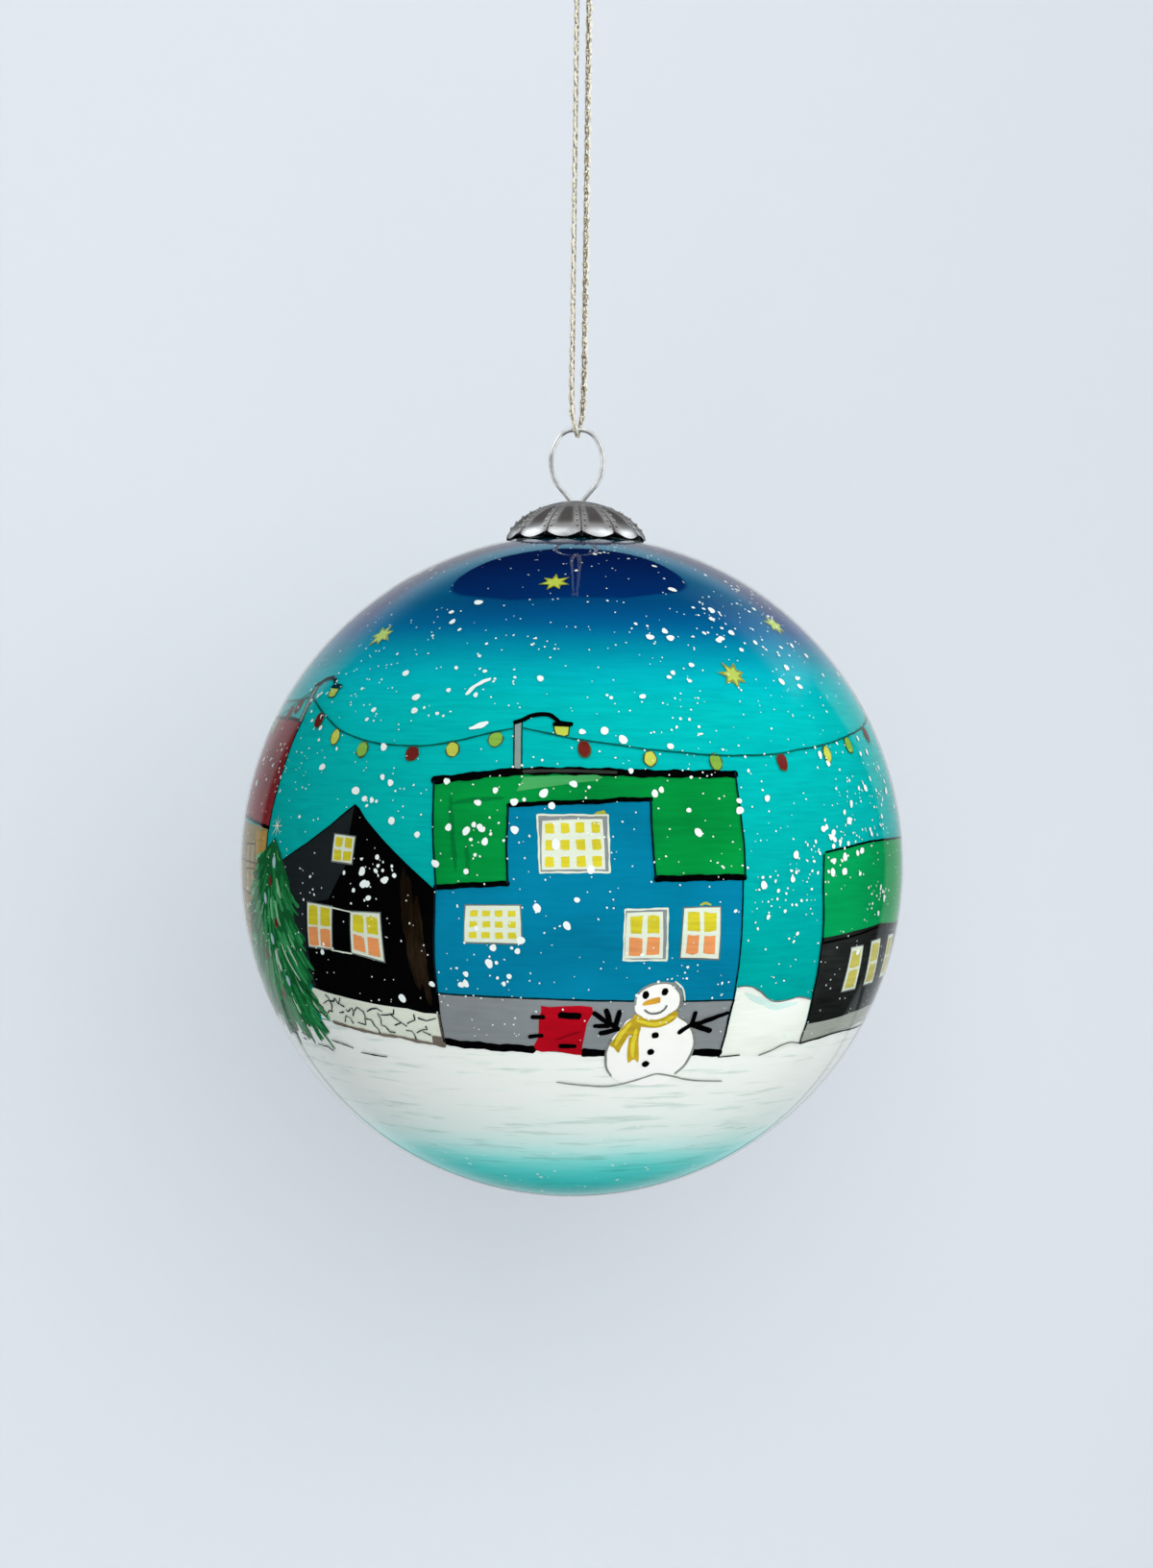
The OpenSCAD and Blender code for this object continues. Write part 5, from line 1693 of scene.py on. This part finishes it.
class Room(Nodes):
    """The world: even soft light, a dim room that the glass mirrors, and a bright one for metal."""

    def __init__(self, name):
        world = bpy.data.worlds.new(name)
        bpy.context.scene.world = world
        world.use_nodes = True
        self.tree = world.node_tree
        self.tree.nodes.clear()
        self.out = self.add("ShaderNodeOutputWorld")
        where = self.add("ShaderNodeTexCoord")
        parts = self.add("ShaderNodeSeparateXYZ")
        self.way = where.outputs["Generated"]
        self.join(self.way, parts.inputs[0])
        self.across = self.maths("ABSOLUTE", parts.outputs["X"], None)
        self.right, self.back, self.high = parts.outputs["X"], parts.outputs["Y"], parts.outputs["Z"]
        self.above = self.maths("MAXIMUM", self.high, 0.001)
        self.rightward = self.maths("DIVIDE", self.right, self.above)
        self.backward = self.maths("DIVIDE", self.back, self.above)

    def fade(self, value, low, high):
        """0 up to low, 1 from high, and smooth between."""
        node = self.add("ShaderNodeMapRange", interpolation_type="SMOOTHSTEP")
        node.inputs["From Min"].default_value = low
        node.inputs["From Max"].default_value = high
        self.join(value, node.inputs["Value"])
        return node.outputs["Result"]

    def product(self, *values):
        result = values[0]
        for value in values[1:]:
            result = self.maths("MULTIPLY", result, value)
        return result

    def background(self, colour, strength):
        node = self.add("ShaderNodeBackground")
        node.inputs["Color"].default_value = linear(colour)
        if isinstance(strength, float):
            node.inputs["Strength"].default_value = strength
        else:
            self.join(strength, node.inputs["Strength"])
        return node.outputs[0]

    def lens(self):
        """1 inside the dark gap that the glass shows below its top edge, and 0 round it."""
        offset = self.maths("ABSOLUTE", self.maths("ADD", self.rightward, 0.03), None)
        squared = self.product(offset, offset)
        up = self.maths("SUBTRACT", self.backward, 0.82)
        end = self.maths("MULTIPLY_ADD", self.product(up, up), -0.9, 0.44)
        low_edge = self.maths("MULTIPLY_ADD", squared, 1.0, 0.27)
        top_edge = self.maths("MULTIPLY_ADD", squared, -0.6, 1.3)
        return self.product(self.fade(self.maths("SUBTRACT", end, offset), -0.015, 0.015),
                            self.fade(self.maths("SUBTRACT", self.backward, low_edge), -0.02, 0.02),
                            self.fade(self.maths("SUBTRACT", top_edge, self.backward), -0.03, 0.03))

    def pale_wall(self, lens):
        """The pale wall close behind the globe, with a thin dark seam, and a window to the right."""
        reach = self.maths("MULTIPLY_ADD", self.above, 0.15, self.back)
        within = self.fade(self.maths("SUBTRACT", reach, self.across), -0.03, 0.08)
        dimmer = self.product(self.maths("MULTIPLY_ADD", self.fade(self.across, 0.3, 0.7), -0.4, 1.0),
                              self.maths("MULTIPLY_ADD", self.fade(self.right, 0.2, 0.6), -0.3, 1.0))
        slope = self.maths("DIVIDE", self.high, self.maths("MAXIMUM", self.back, 0.001))
        seam = self.product(self.fade(slope, -0.42, -0.40), self.fade(slope, -0.35, -0.37))
        near_top = self.maths("MAXIMUM", self.fade(self.backward, 0.75, 1.75), self.fade(self.high, 0.3, 0.2))
        wall = self.product(within, self.fade(self.back, 0.1, 0.3), self.fade(self.high, -0.72, -0.35),
                            near_top, dimmer, self.maths("MULTIPLY_ADD", seam, -0.7, 1.0))
        window = self.product(self.fade(self.rightward, 0.25, 1.0), self.fade(self.rightward, 1.45, 1.15),
                              self.fade(self.backward, 0.46, 0.74), self.fade(self.high, 0.3, 0.4))
        both = self.maths("MAXIMUM", self.product(wall, 0.88), self.product(window, 0.66))
        return self.maths("ADD", self.product(both, self.maths("SUBTRACT", 1.0, lens)), 0.012)

    def blue_gloom(self, lens):
        """The blue-green of the room above, all round the gap."""
        return self.product(self.fade(self.high, 0.4, 0.6), self.fade(self.backward, -0.4, 0.1),
                            self.maths("SUBTRACT", 1.0, lens), 0.9)

    def metal_room(self):
        """Bright above and at both sides, less so in front, and dim behind."""
        top = self.fade(self.high, 0.1, 0.75)
        sides = self.fade(self.across, 0.35, 0.85)
        behind = self.maths("MULTIPLY_ADD", self.fade(self.back, 0.1, 0.8), -0.55, 1.0)
        lit = self.maths("ADD", self.maths("MULTIPLY_ADD", top, 0.6, 0.55),
                         self.maths("MULTIPLY", sides, 0.6))
        return self.product(lit, behind)

    def soft_light(self, even, leaning, towards):
        """Light from all round that is stronger from one side: a bright corner of a white room."""
        dot = self.add("ShaderNodeVectorMath", operation="DOT_PRODUCT")
        self.join(self.way, dot.inputs[0])
        dot.inputs[1].default_value = Vector(towards).normalized()
        facing = self.maths("MAXIMUM", dot.outputs["Value"], 0.0)
        return self.maths("MULTIPLY_ADD", facing, leaning, even)

    def finish(self, colour, even, leaning, towards):
        path = self.add("ShaderNodeLightPath")
        rooms, seen = self.add("ShaderNodeMixShader"), self.add("ShaderNodeMixShader")
        whole = self.add("ShaderNodeMixShader")
        self.join(path.outputs["Is Singular Ray"], rooms.inputs[0])
        self.join(self.background(colour, self.metal_room()), rooms.inputs[1])
        lens, mirrored = self.lens(), self.add("ShaderNodeAddShader")
        self.join(self.background(colour, self.pale_wall(lens)), mirrored.inputs[0])
        self.join(self.background((20, 222, 255), self.blue_gloom(lens)), mirrored.inputs[1])
        self.join(mirrored.outputs[0], rooms.inputs[2])
        self.join(path.outputs["Is Glossy Ray"], seen.inputs[0])
        self.join(self.background((255, 255, 255), self.soft_light(even, leaning, towards)), seen.inputs[1])
        self.join(rooms.outputs[0], seen.inputs[2])
        self.join(path.outputs["Is Camera Ray"], whole.inputs[0])
        self.join(seen.outputs[0], whole.inputs[1])
        self.join(self.background(colour, 0.85), whole.inputs[2])
        self.join(whole.outputs[0], self.out.inputs["Surface"])


bpy.context.scene.view_settings.view_transform = "Standard"
make_stage()
Room("soft_room").finish((236, 242, 248), even=0.25, leaning=1.3, towards=(0.90, -0.40, 0.18))
soft_light("key", CENTRE + Vector((0.06, -0.78, 0.22)), CENTRE, (0.6, 0.6), 2.9)
